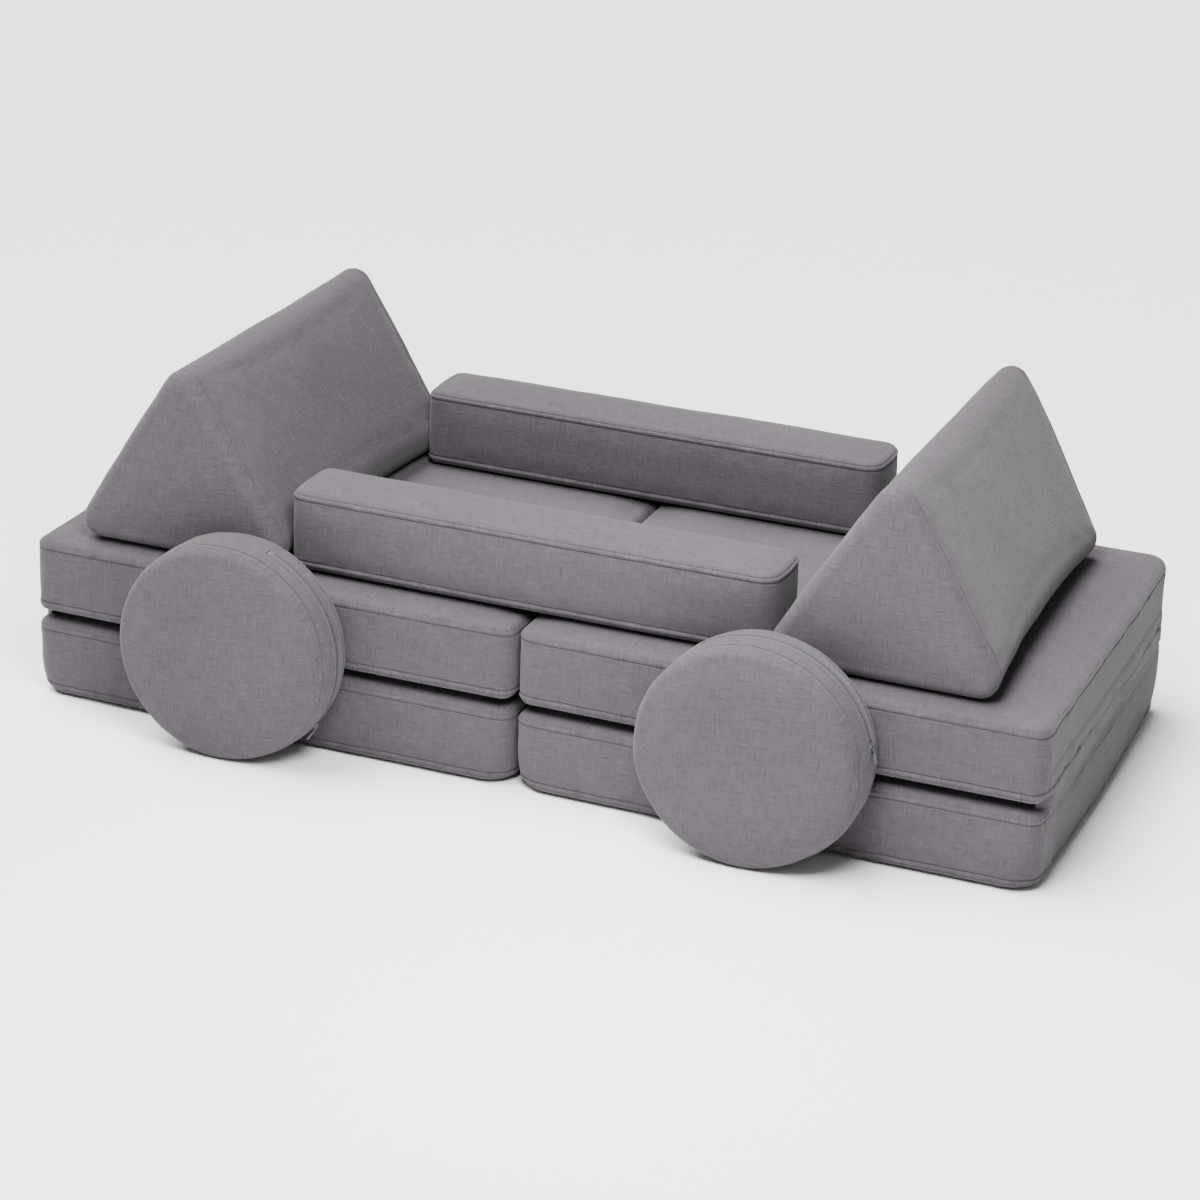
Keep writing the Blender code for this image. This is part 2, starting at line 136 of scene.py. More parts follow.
# Seams: the row lies SEAM_DROP below the rounding; the marks are distances from the topstitched row, along
# the section, where the cover's mesh has its rings
SEAM_DROP = 0.0016
EDGE_MARKS = (0.0008, 0.0018, 0.0028, 0.0038, 0.0048, 0.0058, 0.0064, 0.0069, 0.0074, 0.0082)
EDGE_STEP = 0.0026
BAND_MARKS = (0.0007, 0.0014, 0.0024, 0.0040, 0.0064, 0.0100)
STITCH_SPREAD = 0.0008
CREASE_SPREAD = 0.0006
# Painted shade: the seams' colour is darkened fully along the stitched line, and by CREASE_SHADE in the
# crease
CREASE_SHADE = 0.55
RIDGE_POWER = 0.6

# Simulated swelling: the level that leaves a point where it is, and how far it may then move
SWELL_SHARE = 0.4
SWELL_LEVEL = 0.0025
SWELL_DIP = 0.0010
SWELL_RISE = 0.0016
SWELL_QUALITY = 4
SWELL_NEIGHBOURS = 5
SWELL_NEAR = 0.001

# Unevenness of the covers: size of the bumps, share and seed step of the waves and of the gathers at a seam
NOISE_CELLS = 32
WAVES = ((0.085, 1.0, 0), (0.032, 0.3, 3))
GATHERS = ((0.013, 0.6, 5), (0.027, 0.4, 8))
GATHER_LEVEL = 0.004
GATHER_REACH = 0.010
GATHER_SHARE = 2.0

# First seed of each pair of covers
COVER_SEEDS = {"upper": 1, "lower": 3, "bar": 11, "triangle": 21, "disc": 31}

# Distances over which a cover comes free of the floor, of its neighbours and of its zip
FLOOR_FREE = (0.001, 0.014)
BLOCK_FREE = (0.004, 0.022)
ZIP_FREE = (0.005, 0.020)

# Zips: run, tape, teeth, fabric lips (flaps on a disc) and end bars
ZIP_HALF_HEIGHT = 0.0045
ZIP_END_STOP = 0.006
ZIP_PROBE = 0.030
ZIP_STEP = 0.006
ZIP_TAPE_MARGIN = 0.0003
ZIP_TAPE_SINK = 0.0004
ZIP_TAPE_RISE = 0.0005
TOOTH_PITCH = 0.0016
TOOTH_LENGTH = 0.0009
TOOTH_REACH = 0.0034
TOOTH_HEIGHT = 0.0010
TOOTH_SHIFT = 0.0005
TOOTH_LIFT = 0.3
TOOTH_BEVEL = 0.28
LIP_WIDTH = 0.0030
LIP_HEIGHT = 0.0014
LIP_SINK = 0.0004
LIP_SHIFT = 0.35
LIP_POINTS = 8
LIP_OVERHANG = 0.005
LIP_ROW = 1.1
FLAP_WIDTH = 0.0078
FLAP_GAP = 0.0004
FLAP_HEIGHT = 0.0009
END_BAR_WIDTH = 0.0022
END_BAR_HEIGHT = 0.0009
END_BAR_BEVEL = 0.3

# Stitches: a bead's sides, its share between the pointed ends, a stitch's share of the pitch, its rise on the
# cover, and the share of the pitch over which the line's direction is taken
STITCH_SIDES = 5
STITCH_FILL = 0.7
STITCH_SHARE = 0.7
STITCH_LIFT = 0.25
ZIP_STITCH_LIFT = 0.2
LINE_PROBE = 0.3

# Zip slider, flat on z = 0 with its travel along X, and its pull, which hangs towards -Y
SLIDER_LENGTH = 0.010
SLIDER_WIDTH = 0.008
SLIDER_RISE = 0.0003
SLIDER_PLATE_HEIGHT = 0.0013
SLIDER_PLATE_LEVEL = 0.00215
SLIDER_NOSES = ((1, 0.55), (-1, 0.8))
SLIDER_BEVEL = 0.0005
FLANGE_SIZE = (0.0062, 0.0009, 0.0019)
FLANGE_BACK = -0.0006
FLANGE_INSET = 0.0008
FLANGE_LEVEL = 0.00125
SMALL_BEVEL = 0.0003
WIRE = {"major_segments": 20, "minor_segments": 8, "minor_radius": 0.0005}
BRIDGE_RADIUS = 0.0017
BRIDGE_LEVEL = 0.0027
EYE_RADIUS = 0.0015
EYE_PLACE = (0.0, -0.0012, 0.0041)
NECK_SIZE = (0.0026, 0.0105, 0.0011)
NECK_PLACE = (0.0, -0.0078, 0.0041)
PULL_SIZE = (0.0056, 0.0144, 0.0014)
PULL_PLACE = (0.0, -0.0188, 0.0042)
PULL_CORNER = 0.0019
PULL_FRAME = 0.0014
PULL_CORNER_STEPS = 5
FACING = 0.9
SHARP_ANGLE = math.radians(40.0)

# Fabric hinge: its grid, hems and rest level, its hang over the fold, and the fold's blend
HINGE_STEP = 0.0015
HINGE_WIDE_STEP = 0.0045
HINGE_MARGIN = 0.010
HINGE_HEM = 0.007
HINGE_HEM_START = 0.15
HINGE_REST = 0.00075
HINGE_DIP = 0.001
HINGE_SPAN = 0.016
HINGE_TAUT_SHARE = 1.3
HINGE_CLEARANCE = 0.0010
HINGE_THICKNESS = 0.0008
HINGE_SINK = 0.015
HINGE_END_SPAN = 0.020
HINGE_TOP_SPAN = 0.012
HINGE_GATHER = 0.0058
HINGE_WAVER = 0.0060
HINGE_WAVES = ((0.045, 0.65, 71), (0.019, 0.35, 73))
HINGE_SWING = 0.45
HINGE_TURN = 0.0022
HINGE_REACH = 0.026
HINGE_PROBE = 0.1

# Melange weave, in yarns: the dashes' shape along both yarns, and the noise values between which they fade in
DASH_SHAPES = ((0.10, 1.15, 1.0), (1.15, 0.10, 1.0))
DASH_NOISE = {"Scale": 0.62, "Detail": 2.0, "Roughness": 0.62}
DASH_SHIFT = 7
PALE_SPAN = (0.55, 0.78)
DARK_SPAN = (0.44, 0.24)
YARN_RELIEF = 0.30
COVER_DRIFT = {"Size": 0.11, "Amount": 0.11}
DRIFT_DETAIL = 3.0
COVER_ROUGHNESS = (0.92, 0.80)
COVER_BUMP = {"Strength": 0.45, "Distance": 0.0005}
COVER_SHEEN = {"Sheen Weight": 0.10, "Sheen Roughness": 0.45, "Specular IOR Level": 0.25}

# Plain finishes: colour, its share for the ground and for the flecks, fleck size, roughness, metallic, relief
PLAIN_FINISHES = {
    "sewing thread": ("thread", 1.0, 1.5, 0.0006, 0.75, 0.0, 0.0001),
    "zip tape": ("zip_tape", 1.0, 1.6, 0.0012, 0.80, 0.0, 0.0002),
    "painted zip metal": ("zip_metal", 1.0, 1.4, 0.0015, 0.42, 0.75, 0.00005),
    "open foam": ("foam", 0.86, 1.1, 0.0022, 0.93, 0.0, 0.0008),
}
ROUGHNESS_SWING = 0.07
GRAIN_BUMP = 0.5
GRAIN_DETAIL = 4.0
GRAIN_SPAN = (0.3, 0.7)
CELL_SPAN = (0.15, 0.75)

# Stage
FLOOR_SIZE = 30.0
FLOOR_DROP = 0.0005
FLOOR_ROUGHNESS = 0.9
OVERHEAD_PLACE = (-1.25, 0.0, 3.0)
OVERHEAD_SPREAD = math.radians(52.0)
FRONT_LIGHT_PLACE = (0.42, -1.1, 1.55)
FRONT_LIGHT_SIZE = 0.7
LIT_POINT = (0.0, 0.0, 0.15)
SENSOR_WIDTH = 36.0
FARTHEST = 100.0

BLOCK_NAMES = ("left_upper", "left_lower", "right_upper", "right_lower", "front_bar", "back_bar",
               "left_triangle", "right_triangle", "left_disc", "right_disc")


class CoverSizes(bpy.types.PropertyGroup):
    """Sizes of the sewn details."""
    seam_depth: FloatProperty(name="Seam depth", description="How far the topstitched line sinks in",
                              default=0.0014, min=0.0, unit='LENGTH')
    crease_depth: FloatProperty(name="Crease depth", description="Depth of the seam between panel and band",
                                default=0.0007, min=0.0, unit='LENGTH')
    ridge_height: FloatProperty(name="Ridge height", description="Rise of the folded seam allowance",
                                default=0.0009, min=0.0, unit='LENGTH')
    ridge_width: FloatProperty(name="Ridge width", description="From the topstitched line to the crease",
                               default=0.0069, min=0.001, unit='LENGTH')
    pucker_height: FloatProperty(name="Pucker height", description="Height of the gathers beside the seams",
                                 default=0.0008, min=0.0, unit='LENGTH')
    wave_height: FloatProperty(name="Wave height", description="Gentle unevenness of the panels",
                               default=0.0011, min=0.0, unit='LENGTH')
    stitch_pitch: FloatProperty(name="Stitch pitch", description="From one stitch to the next",
                                default=0.0040, min=0.001, unit='LENGTH')
    stitch_width: FloatProperty(name="Thread width", description="Thickness of the sewing thread",
                                default=0.0006, min=0.0001, unit='LENGTH')
    mesh_step: FloatProperty(name="Mesh step", description="Spacing of the cover's mesh along its seams",
                             default=0.0052, min=0.002, unit='LENGTH')
    swell_cap: FloatProperty(name="Swell cap", description="Farthest that the simulated cover may move",
                             default=0.006, min=0.0, unit='LENGTH')
    swell_voxel: FloatProperty(name="Swell voxel", description="Voxel size of the simulated cover",
                               default=0.008, min=0.004, unit='LENGTH')
    swell_pressure: FloatProperty(name="Swell pressure", description="Air pressure of the simulation",
                                  default=4.0, min=0.0)
    swell_frames: IntProperty(name="Swell frames", description="Length of the simulation", default=20, min=2)


class CoverColours(bpy.types.PropertyGroup):
    """Colours and scales of the finishes."""
    yarn: FloatVectorProperty(name="Yarn", description="Main yarn of the woven cover", subtype='COLOR',
                              size=3, default=(0.0630, 0.0552, 0.0640), min=0.0, max=1.0)
    pale_slub: FloatVectorProperty(name="Pale slub", description="Light thick places of the yarn",
                                   subtype='COLOR', size=3, default=(0.0780, 0.0690, 0.0788),
                                   min=0.0, max=1.0)
    dark_slub: FloatVectorProperty(name="Dark slub", description="Dark places of the yarn", subtype='COLOR',
                                   size=3, default=(0.0490, 0.0426, 0.0500), min=0.0, max=1.0)
    thread: FloatVectorProperty(name="Thread", description="Sewing thread", subtype='COLOR', size=3,
                                default=(0.058, 0.052, 0.060), min=0.0, max=1.0)
    zip_tape: FloatVectorProperty(name="Zip tape", description="Woven tape and coil of the zips",
                                  subtype='COLOR', size=3, default=(0.060, 0.057, 0.063), min=0.0, max=1.0)
    zip_metal: FloatVectorProperty(name="Zip metal", description="Painted sliders and pulls", subtype='COLOR',
                                   size=3, default=(0.085, 0.084, 0.090), min=0.0, max=1.0)
    foam: FloatVectorProperty(name="Foam", description="Foam of the cores", subtype='COLOR', size=3,
                              default=(0.72, 0.68, 0.55), min=0.0, max=1.0)
    yarn_pitch: FloatProperty(name="Yarn pitch", description="From one yarn of the weave to the next",
                              default=0.0015, min=0.0002, unit='LENGTH')


class StageSettings(bpy.types.PropertyGroup):
    """Floor, light and camera."""
    azimuth: FloatProperty(name="Azimuth", description="Camera's turn to the right of the front",
                           default=math.radians(20.96), subtype='ANGLE')
    elevation: FloatProperty(name="Elevation", description="Camera's angle above the horizon",
                             default=math.radians(22.28), subtype='ANGLE')
    roll: FloatProperty(name="Roll", description="Camera's turn about its view", default=math.radians(2.27),
                        subtype='ANGLE')
    distance: FloatProperty(name="Distance", description="From the camera to its target", default=4.7549,
                            unit='LENGTH')
    lens: FloatProperty(name="Lens", description="Focal length for a 36 mm sensor", default=103.99)
    target: FloatVectorProperty(name="Target", description="Point the camera looks at", size=3,
                                default=(-0.0249, 0.0882, 0.1262), subtype='TRANSLATION')
    floor: FloatVectorProperty(name="Floor", description="Colour of the floor", size=3, subtype='COLOR',
                               default=(0.90, 0.90, 0.90), min=0.0, max=1.0)
    ambient: FloatProperty(name="Ambient light", description="Strength of the white surroundings",
                           default=0.30, min=0.0)
    overhead: FloatProperty(name="Overhead light", description="Strength of the wide soft light from above",
                            default=9.4, min=0.0)
    fill: FloatProperty(name="Front light", description="Watts of the light in front of the right half",
                        default=58.0, min=0.0)


# Finishes


def group_sockets(tree, inputs, outputs):
    """Declare a node group's sockets and return its input and output nodes."""
    kinds = {float: 'NodeSocketFloat', tuple: 'NodeSocketColor', str: 'NodeSocketVector'}
    for name, value in inputs:
        socket = tree.interface.new_socket(name, in_out='INPUT', socket_type=kinds[type(value)])
        if type(value) is not str:
            socket.default_value = value
    for name, kind in outputs:
        tree.interface.new_socket(name, in_out='OUTPUT', socket_type=kind)
    return tree.nodes.new('NodeGroupInput'), tree.nodes.new('NodeGroupOutput')


def wire(tree, kind, inputs=(), **settings):
    """Add a node, set its properties and feed its inputs from sockets or values."""
    node = tree.nodes.new(kind)
    for name, value in settings.items():
        setattr(node, name, value)
    for key, value in dict(inputs).items():
        if isinstance(value, bpy.types.NodeSocket):
            tree.links.new(value, node.inputs[key])
        else:
            node.inputs[key].default_value = value
    return node


def maths(tree, operation, *values):
    """A Math node's result."""
    return wire(tree, 'ShaderNodeMath', enumerate(values), operation=operation).outputs[0]


def blended(tree, factor, low, high):
    """A colour mix of two colours by a factor."""
    return wire(tree, 'ShaderNodeMix', {0: factor, 6: low, 7: high}, data_type='RGBA').outputs[2]


def slub_group():
    """Melange yarn: short pale and dark dashes along both directions of the weave, and the yarns' relief."""
    tree = bpy.data.node_groups.new("melange weave", 'ShaderNodeTree')
    start, end = group_sockets(
        tree,
        [("Surface", ""), ("Pitch", 0.0016), ("Yarn", (0.2, 0.2, 0.2, 1.0)), ("Pale", (0.3, 0.3, 0.3, 1.0)),
         ("Dark", (0.1, 0.1, 0.1, 1.0))],
        [("Colour", 'NodeSocketColor'), ("Height", 'NodeSocketFloat'), ("Mask", 'NodeSocketFloat')],
    )
    scale = maths(tree, 'DIVIDE', 1.0, start.outputs["Pitch"])
    surface = wire(tree, 'ShaderNodeVectorMath', {0: start.outputs["Surface"]}, operation='SCALE')
    tree.links.new(scale, surface.inputs["Scale"])
    yarns = surface.outputs[0]
    dashes = []
    for stretch in DASH_SHAPES:
        moved = wire(tree, 'ShaderNodeMapping', {"Vector": yarns, "Scale": stretch,
                                                 "Location": (stretch[0] * DASH_SHIFT, 3, 0)})
        dash = wire(tree, 'ShaderNodeTexNoise', {"Vector": moved.outputs[0], **DASH_NOISE},
                    noise_dimensions='2D')
        dashes.append(dash.outputs[0])
    pale, dark = (wire(tree, 'ShaderNodeMapRange', {"Value": maths(tree, pick, *dashes), "From Min": span[0],
                                                    "From Max": span[1]}, interpolation_type='SMOOTHSTEP')
                  for pick, span in (('MAXIMUM', PALE_SPAN), ('MINIMUM', DARK_SPAN)))
    tone = blended(tree, pale.outputs[0], start.outputs["Yarn"], start.outputs["Pale"])
    tone = blended(tree, dark.outputs[0], tone, start.outputs["Dark"])
    axes = wire(tree, 'ShaderNodeSeparateXYZ', {0: yarns})
    across = maths(tree, 'SINE', maths(tree, 'MULTIPLY', axes.outputs[0], math.pi))
    along = maths(tree, 'SINE', maths(tree, 'MULTIPLY', axes.outputs[1], math.pi))
    weave = maths(tree, 'MULTIPLY', across, along)
    height = maths(tree, 'ADD', maths(tree, 'MULTIPLY', weave, YARN_RELIEF),
                   maths(tree, 'SUBTRACT', pale.outputs[0], dark.outputs[0]))
    tree.links.new(tone, end.inputs["Colour"])
    tree.links.new(height, end.inputs["Height"])
    tree.links.new(pale.outputs[0], end.inputs["Mask"])
    return tree


def cloud_group():
    """Slow changes of shade over a surface, from Object coordinates."""
    tree = bpy.data.node_groups.new("shade drift", 'ShaderNodeTree')
    start, end = group_sockets(
        tree, [("Place", ""), ("Size", 0.12), ("Colour", (0.2, 0.2, 0.2, 1.0)), ("Amount", 0.1)],
        [("Colour", 'NodeSocketColor'), ("Mask", 'NodeSocketFloat')])
    scale = maths(tree, 'DIVIDE', 1.0, start.outputs["Size"])
    cloud = wire(tree, 'ShaderNodeTexNoise', {"Vector": start.outputs["Place"], "Scale": scale,
                                              "Detail": DRIFT_DETAIL})
    swing = maths(tree, 'MULTIPLY', maths(tree, 'SUBTRACT', cloud.outputs[0], 0.5), start.outputs["Amount"])
    bright = maths(tree, 'ADD', 1.0, maths(tree, 'MULTIPLY', swing, 2.0))
    tinted = wire(tree, 'ShaderNodeVectorMath', {0: start.outputs["Colour"]}, operation='SCALE')
    tree.links.new(bright, tinted.inputs["Scale"])
    tree.links.new(tinted.outputs[0], end.inputs["Colour"])
    tree.links.new(cloud.outputs[0], end.inputs["Mask"])
    return tree


def edge_group():
    """Rubbed ridges, and painted shade that darkens the colour along the stitched lines and in the creases,
    from the cover's own seam attributes.
    """
    tree = bpy.data.node_groups.new("seam wear", 'ShaderNodeTree')
    start, end = group_sockets(
        tree,
        [("Colour", (0.2, 0.2, 0.2, 1.0)), ("Ridge", 0.0), ("Groove", 0.0), ("Rub", 0.08), ("Shade", 0.30)],
        [("Colour", 'NodeSocketColor')])
    given = start.outputs
    lift = maths(tree, 'ADD', 1.0, maths(tree, 'MULTIPLY', given["Ridge"], given["Rub"]))
    # Painted shade: the groove share darkens the colour along stitched lines and in creases, by Shade
    sink = maths(tree, 'SUBTRACT', 1.0, maths(tree, 'MULTIPLY', given["Groove"], given["Shade"]))
    tinted = wire(tree, 'ShaderNodeVectorMath', {0: start.outputs["Colour"]}, operation='SCALE')
    tree.links.new(maths(tree, 'MULTIPLY', lift, sink), tinted.inputs["Scale"])
    tree.links.new(tinted.outputs[0], end.inputs["Colour"])
    return tree


def grain_group():
    """Fine speckle for metal and foam, with its relief."""
    tree = bpy.data.node_groups.new("fine grain", 'ShaderNodeTree')
    start, end = group_sockets(
        tree,
        [("Place", ""), ("Size", 0.001), ("Base", (0.2, 0.2, 0.2, 1.0)), ("Fleck", (0.3, 0.3, 0.3, 1.0))],
        [("Colour", 'NodeSocketColor'), ("Height", 'NodeSocketFloat'), ("Mask", 'NodeSocketFloat')])
    place = start.outputs["Place"]
    scale = maths(tree, 'DIVIDE', 1.0, start.outputs["Size"])
    cells = wire(tree, 'ShaderNodeTexVoronoi', {"Vector": place, "Scale": scale})
    cloud = wire(tree, 'ShaderNodeTexNoise', {"Vector": place, "Scale": scale, "Detail": GRAIN_DETAIL})
    mask = wire(tree, 'ShaderNodeMapRange', {"Value": cells.outputs["Distance"], "From Min": CELL_SPAN[0],
                                             "From Max": CELL_SPAN[1]})
    mixed = maths(tree, 'MULTIPLY', mask.outputs[0], cloud.outputs[0])
    tree.links.new(blended(tree, mixed, start.outputs["Base"], start.outputs["Fleck"]), end.inputs["Colour"])
    tree.links.new(mask.outputs[0], end.inputs["Height"])
    tree.links.new(cloud.outputs[0], end.inputs["Mask"])
    return tree


def place_group(tree, name, maker, inputs):
    """Put a node group in a material with its own values; the group is built when it is first asked for."""
    return wire(tree, 'ShaderNodeGroup', inputs, node_tree=bpy.data.node_groups.get(name) or maker()).outputs


def opaque(colour, share=1.0):
    """A colour with full alpha, brightened by a share."""
    return (*(channel * share for channel in colour), 1.0)


def started_material(name):
    """A new material, with its node tree, its shader and the object's own coordinates."""
    mat = bpy.data.materials.new(name)
    mat.use_nodes = True
    tree = mat.node_tree
    place = tree.nodes.new('ShaderNodeTexCoord').outputs["Object"]
    return mat, tree, tree.nodes["Principled BSDF"], place


def cover_material():
    """The melange linen-look cover."""
    name = "woven cover"
    if name in bpy.data.materials:
        return bpy.data.materials[name]
    colours = bpy.context.scene.sofa_colours
    mat, tree, shader, place = started_material(name)
    surface = wire(tree, 'ShaderNodeUVMap', uv_map="weave").outputs[0]
    weave = place_group(tree, "melange weave", slub_group, {
        "Surface": surface, "Pitch": colours.yarn_pitch, "Yarn": opaque(colours.yarn),
        "Pale": opaque(colours.pale_slub), "Dark": opaque(colours.dark_slub)})
    drift = place_group(tree, "shade drift", cloud_group, {
        "Place": place, "Colour": weave["Colour"], **COVER_DRIFT})
    # The ridge attribute lightens the colour as wear; the groove attribute carries painted shade that darkens
    # it
    ridge, groove = (wire(tree, 'ShaderNodeAttribute', attribute_name=kind).outputs["Fac"]
                     for kind in ("ridge", "groove"))
    worn_and_shaded = place_group(tree, "seam wear", edge_group, {
        "Colour": drift["Colour"], "Ridge": ridge, "Groove": groove})
    tree.links.new(worn_and_shaded["Colour"], shader.inputs["Base Color"])
    rough = wire(tree, 'ShaderNodeMapRange', {"Value": weave["Mask"], "To Min": COVER_ROUGHNESS[0],
                                              "To Max": COVER_ROUGHNESS[1]})
    tree.links.new(rough.outputs[0], shader.inputs["Roughness"])
    bump = wire(tree, 'ShaderNodeBump', {"Height": weave["Height"], **COVER_BUMP})
    tree.links.new(bump.outputs[0], shader.inputs["Normal"])
    for key, value in COVER_SHEEN.items():
        shader.inputs[key].default_value = value
    return mat


def plain_material(name):
    """Thread, zip tape, metal or foam: a grained colour with its relief."""
    if name in bpy.data.materials:
        return bpy.data.materials[name]
    source, base, fleck, size, roughness, metallic, relief = PLAIN_FINISHES[name]
    colour = getattr(bpy.context.scene.sofa_colours, source)
    mat, tree, shader, place = started_material(name)
    grain = place_group(tree, "fine grain", grain_group, {
        "Place": place, "Size": size, "Base": opaque(colour, base), "Fleck": opaque(colour, fleck)})
    tree.links.new(grain["Colour"], shader.inputs["Base Color"])
    rough = wire(tree, 'ShaderNodeMapRange', {
        "Value": grain["Mask"], "From Min": GRAIN_SPAN[0], "From Max": GRAIN_SPAN[1],
        "To Min": roughness - ROUGHNESS_SWING, "To Max": roughness + ROUGHNESS_SWING})
    tree.links.new(rough.outputs[0], shader.inputs["Roughness"])
    bump = wire(tree, 'ShaderNodeBump', {"Height": grain["Height"], "Strength": GRAIN_BUMP,
                                         "Distance": relief})
    tree.links.new(bump.outputs[0], shader.inputs["Normal"])
    shader.inputs["Metallic"].default_value = metallic
    return mat


# Sewn blocks


def turned(columns, origin):
    """A placing matrix from the directions of its three axes and its origin."""
    place = Matrix.Identity(4)
    for i, column in enumerate(columns):
        for row in range(3):
            place[row][i] = column[row]
    place.translation = Vector(origin)
    return place


class Block:
    """One sewn block: its outline in its own plane, its thickness, and its place in the sofa.

    FORMS explains edge to slump. corners, radii and bulges hold one value for each corner or side, and a disc
    has none. tuck draws the far foot in and spread widens the outer end, both in metres at z = 0.
    """

    def __init__(self, name, body, thickness, place, edge, crown, reach, ridges, corners=None, radii=None,
                 bulges=None, pinch=(1.0, 1.0), pinched=(1.0, 1.0, 1.0, 1.0), squat=1.0, tuck=0.0, spread=0.0,
                 slump=(0.0, 0.0, 0.0)):
        self.name, self.body = name, body
        self.thickness, self.place = thickness, place
        self.edge, self.crown, self.reach, self.ridges = edge, crown, reach, ridges
        self.pinch, self.pinched = pinch, pinched
        self.squat, self.tuck, self.spread, self.slump = squat, tuck, spread, slump
        self.corners = None if corners is None else [Vector(corner) for corner in corners]
        self.radii, self.bulges = radii, bulges
        self.counts = self.side_counts()
        self.path = np.array([tuple(point) for point in self.outline(0.0)])
        steps = np.linalg.norm(np.roll(self.path, -1, axis=0) - self.path, axis=1)
        self.along = np.concatenate(([0.0], np.cumsum(steps)[:-1]))
        self.perimeter = float(steps.sum())

    def side_counts(self):
        """(arc steps, straight steps) of each side; opposite sides of a rectangle get the same."""
        step = bpy.context.scene.sofa_sizes.mesh_step
        if self.corners is None:
            return [round(math.tau * DISC_RADIUS / step)]
        counts = []
        total = len(self.corners)
        for i in range(total):
            length = (self.corners[(i + 1) % total] - self.corners[i]).length
            counts.append(max(LEAST_SIDE_STEPS, round((length - 2 * max(self.radii)) / step)))
        return counts

    def arc_steps(self, i):
        """Steps of half of corner i's arc; all corners of a rectangle get the same."""
        radius = max(self.radii) if len(self.corners) == 4 else self.radii[i]
        return max(LEAST_ARC_STEPS, round(radius * HALF_ARC / bpy.context.scene.sofa_sizes.mesh_step))

    def set_down(self, obj):
        """Move the mesh to its place, with the form that weight and use have left it, above the floor."""
        across, down, shrink = self.slump
        if shrink:
            points = coordinates(obj.data)
            front = smooth_share(points[:, 2] / self.thickness, *SLUMP_SPAN)[:, None]
            points[:, :2] = points[:, :2] * (1 - shrink * front) + np.array((across, down)) * front
            move_points(obj.data, points)
        obj.data.transform(self.place)
        low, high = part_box(self.name + "_cover")
        points = coordinates(obj.data)
        rise = np.clip((points[:, 2] - low.z) / (high.z - low.z), 0.0, 1.0)
        depth = np.clip((points[:, 1] - low.y) / (high.y - low.y), 0.0, 1.0)
        outer = np.clip((2 * points[:, 0] - low.x - high.x) / (high.x - low.x), 0.0, 1.0)
        points[:, 2] = low.z + (points[:, 2] - low.z) * (1 - rise * (1 - self.squat))
        points[:, 0] -= self.tuck * outer * (1 - rise) * depth ** TUCK_POWER
        if self.spread:
            middle = np.sin(np.pi * depth) ** SPREAD_POWER
            end = smooth_share(np.abs(points[:, 0]), *SPREAD_SPAN)
            points[:, 0] += self.spread * middle * end * smooth_share(1 - rise, *SPREAD_LEVELS)
        points[:, 2] = np.maximum(points[:, 2], 0.0)
        move_points(obj.data, points)

    def outline(self, inset, height=None):
        """Points of the outline moved inwards by inset; they start at the middle of corner 0's arc.

        A corner is tighter at the panels than at the middle of the band.
        """
        share = 1.0
        if height is not None:
            pinch = self.pinch[0 if height < self.thickness / 2 else 1]
            share = pinch + (1 - pinch) * math.sin(math.pi * height / self.thickness) ** PINCH_POWER
        if self.corners is None:
            radius = DISC_RADIUS - BAND_BULGE - inset
            count = self.counts[0]
            return [Vector((radius * math.cos(math.tau * k / count), radius * math.sin(math.tau * k / count)))
                    for k in range(count)]
        total = len(self.corners)
        sides = [(self.corners[(i + 1) % total] - self.corners[i]).normalized() for i in range(total)]
        arcs = []
        for i in range(total):
            before, after = sides[i - 1], sides[i]
            turn = abs(before.angle_signed(after))
            radius = max(self.radii[i] * (1 - (1 - share) * self.pinched[i]) - inset, LEAST_RADIUS)
            centre = self.corners[i] + (after - before) / math.sin(turn) * (inset + radius)
            start = Vector((before.y, -before.x)) * radius
            steps = 2 * self.arc_steps(i)
            arcs.append([centre + Matrix.Rotation(turn * k / steps, 2) @ start for k in range(steps + 1)])
        points = []
        for i in range(total):
            half = self.arc_steps(i)
            points += arcs[i][half:]
            first, last = arcs[i][-1], arcs[(i + 1) % total][0]
            outward = Vector((sides[i].y, -sides[i].x))
            for k in range(1, self.counts[i]):
                t = k / self.counts[i]
                points.append(first.lerp(last, t) + outward * (self.bulges[i] * 4 * t * (1 - t)))
            points += arcs[(i + 1) % total][:self.arc_steps((i + 1) % total)]
        return points

    def rows_of_side(self, i):
        """Steps from the middle of corner i to the middle of the next."""
        return self.arc_steps(i) + self.counts[i] + self.arc_steps((i + 1) % len(self.corners))

    def profile(self):
        """(inset, height, distance from the seam) of the rings from the low panel's rim to the high one's."""
        low = self.half_profile(self.crown[0])
        high = [(inset, self.thickness - height, -mark)
                for inset, height, mark in reversed(self.half_profile(self.crown[1]))]
        low_end, high_start = low[-1][1], high[0][1]
        step = bpy.context.scene.sofa_sizes.mesh_step
        count = max(LEAST_BAND_RINGS, round((high_start - low_end) / step))
        middle = []
        for k in range(1, count):
            height = low_end + (high_start - low_end) * k / count
            middle.append((self.band_inset(height), height, None))
        return low + middle + high

    def band_inset(self, height):
        """How far the bowed band is from the outline, at a height."""
        low = self.crown[0] + self.edge
        high = self.thickness - self.crown[1] - self.edge
        t = min(max((height - low) / (high - low), 0.0), 1.0)
        return -BAND_BULGE * 4 * t * (1 - t)

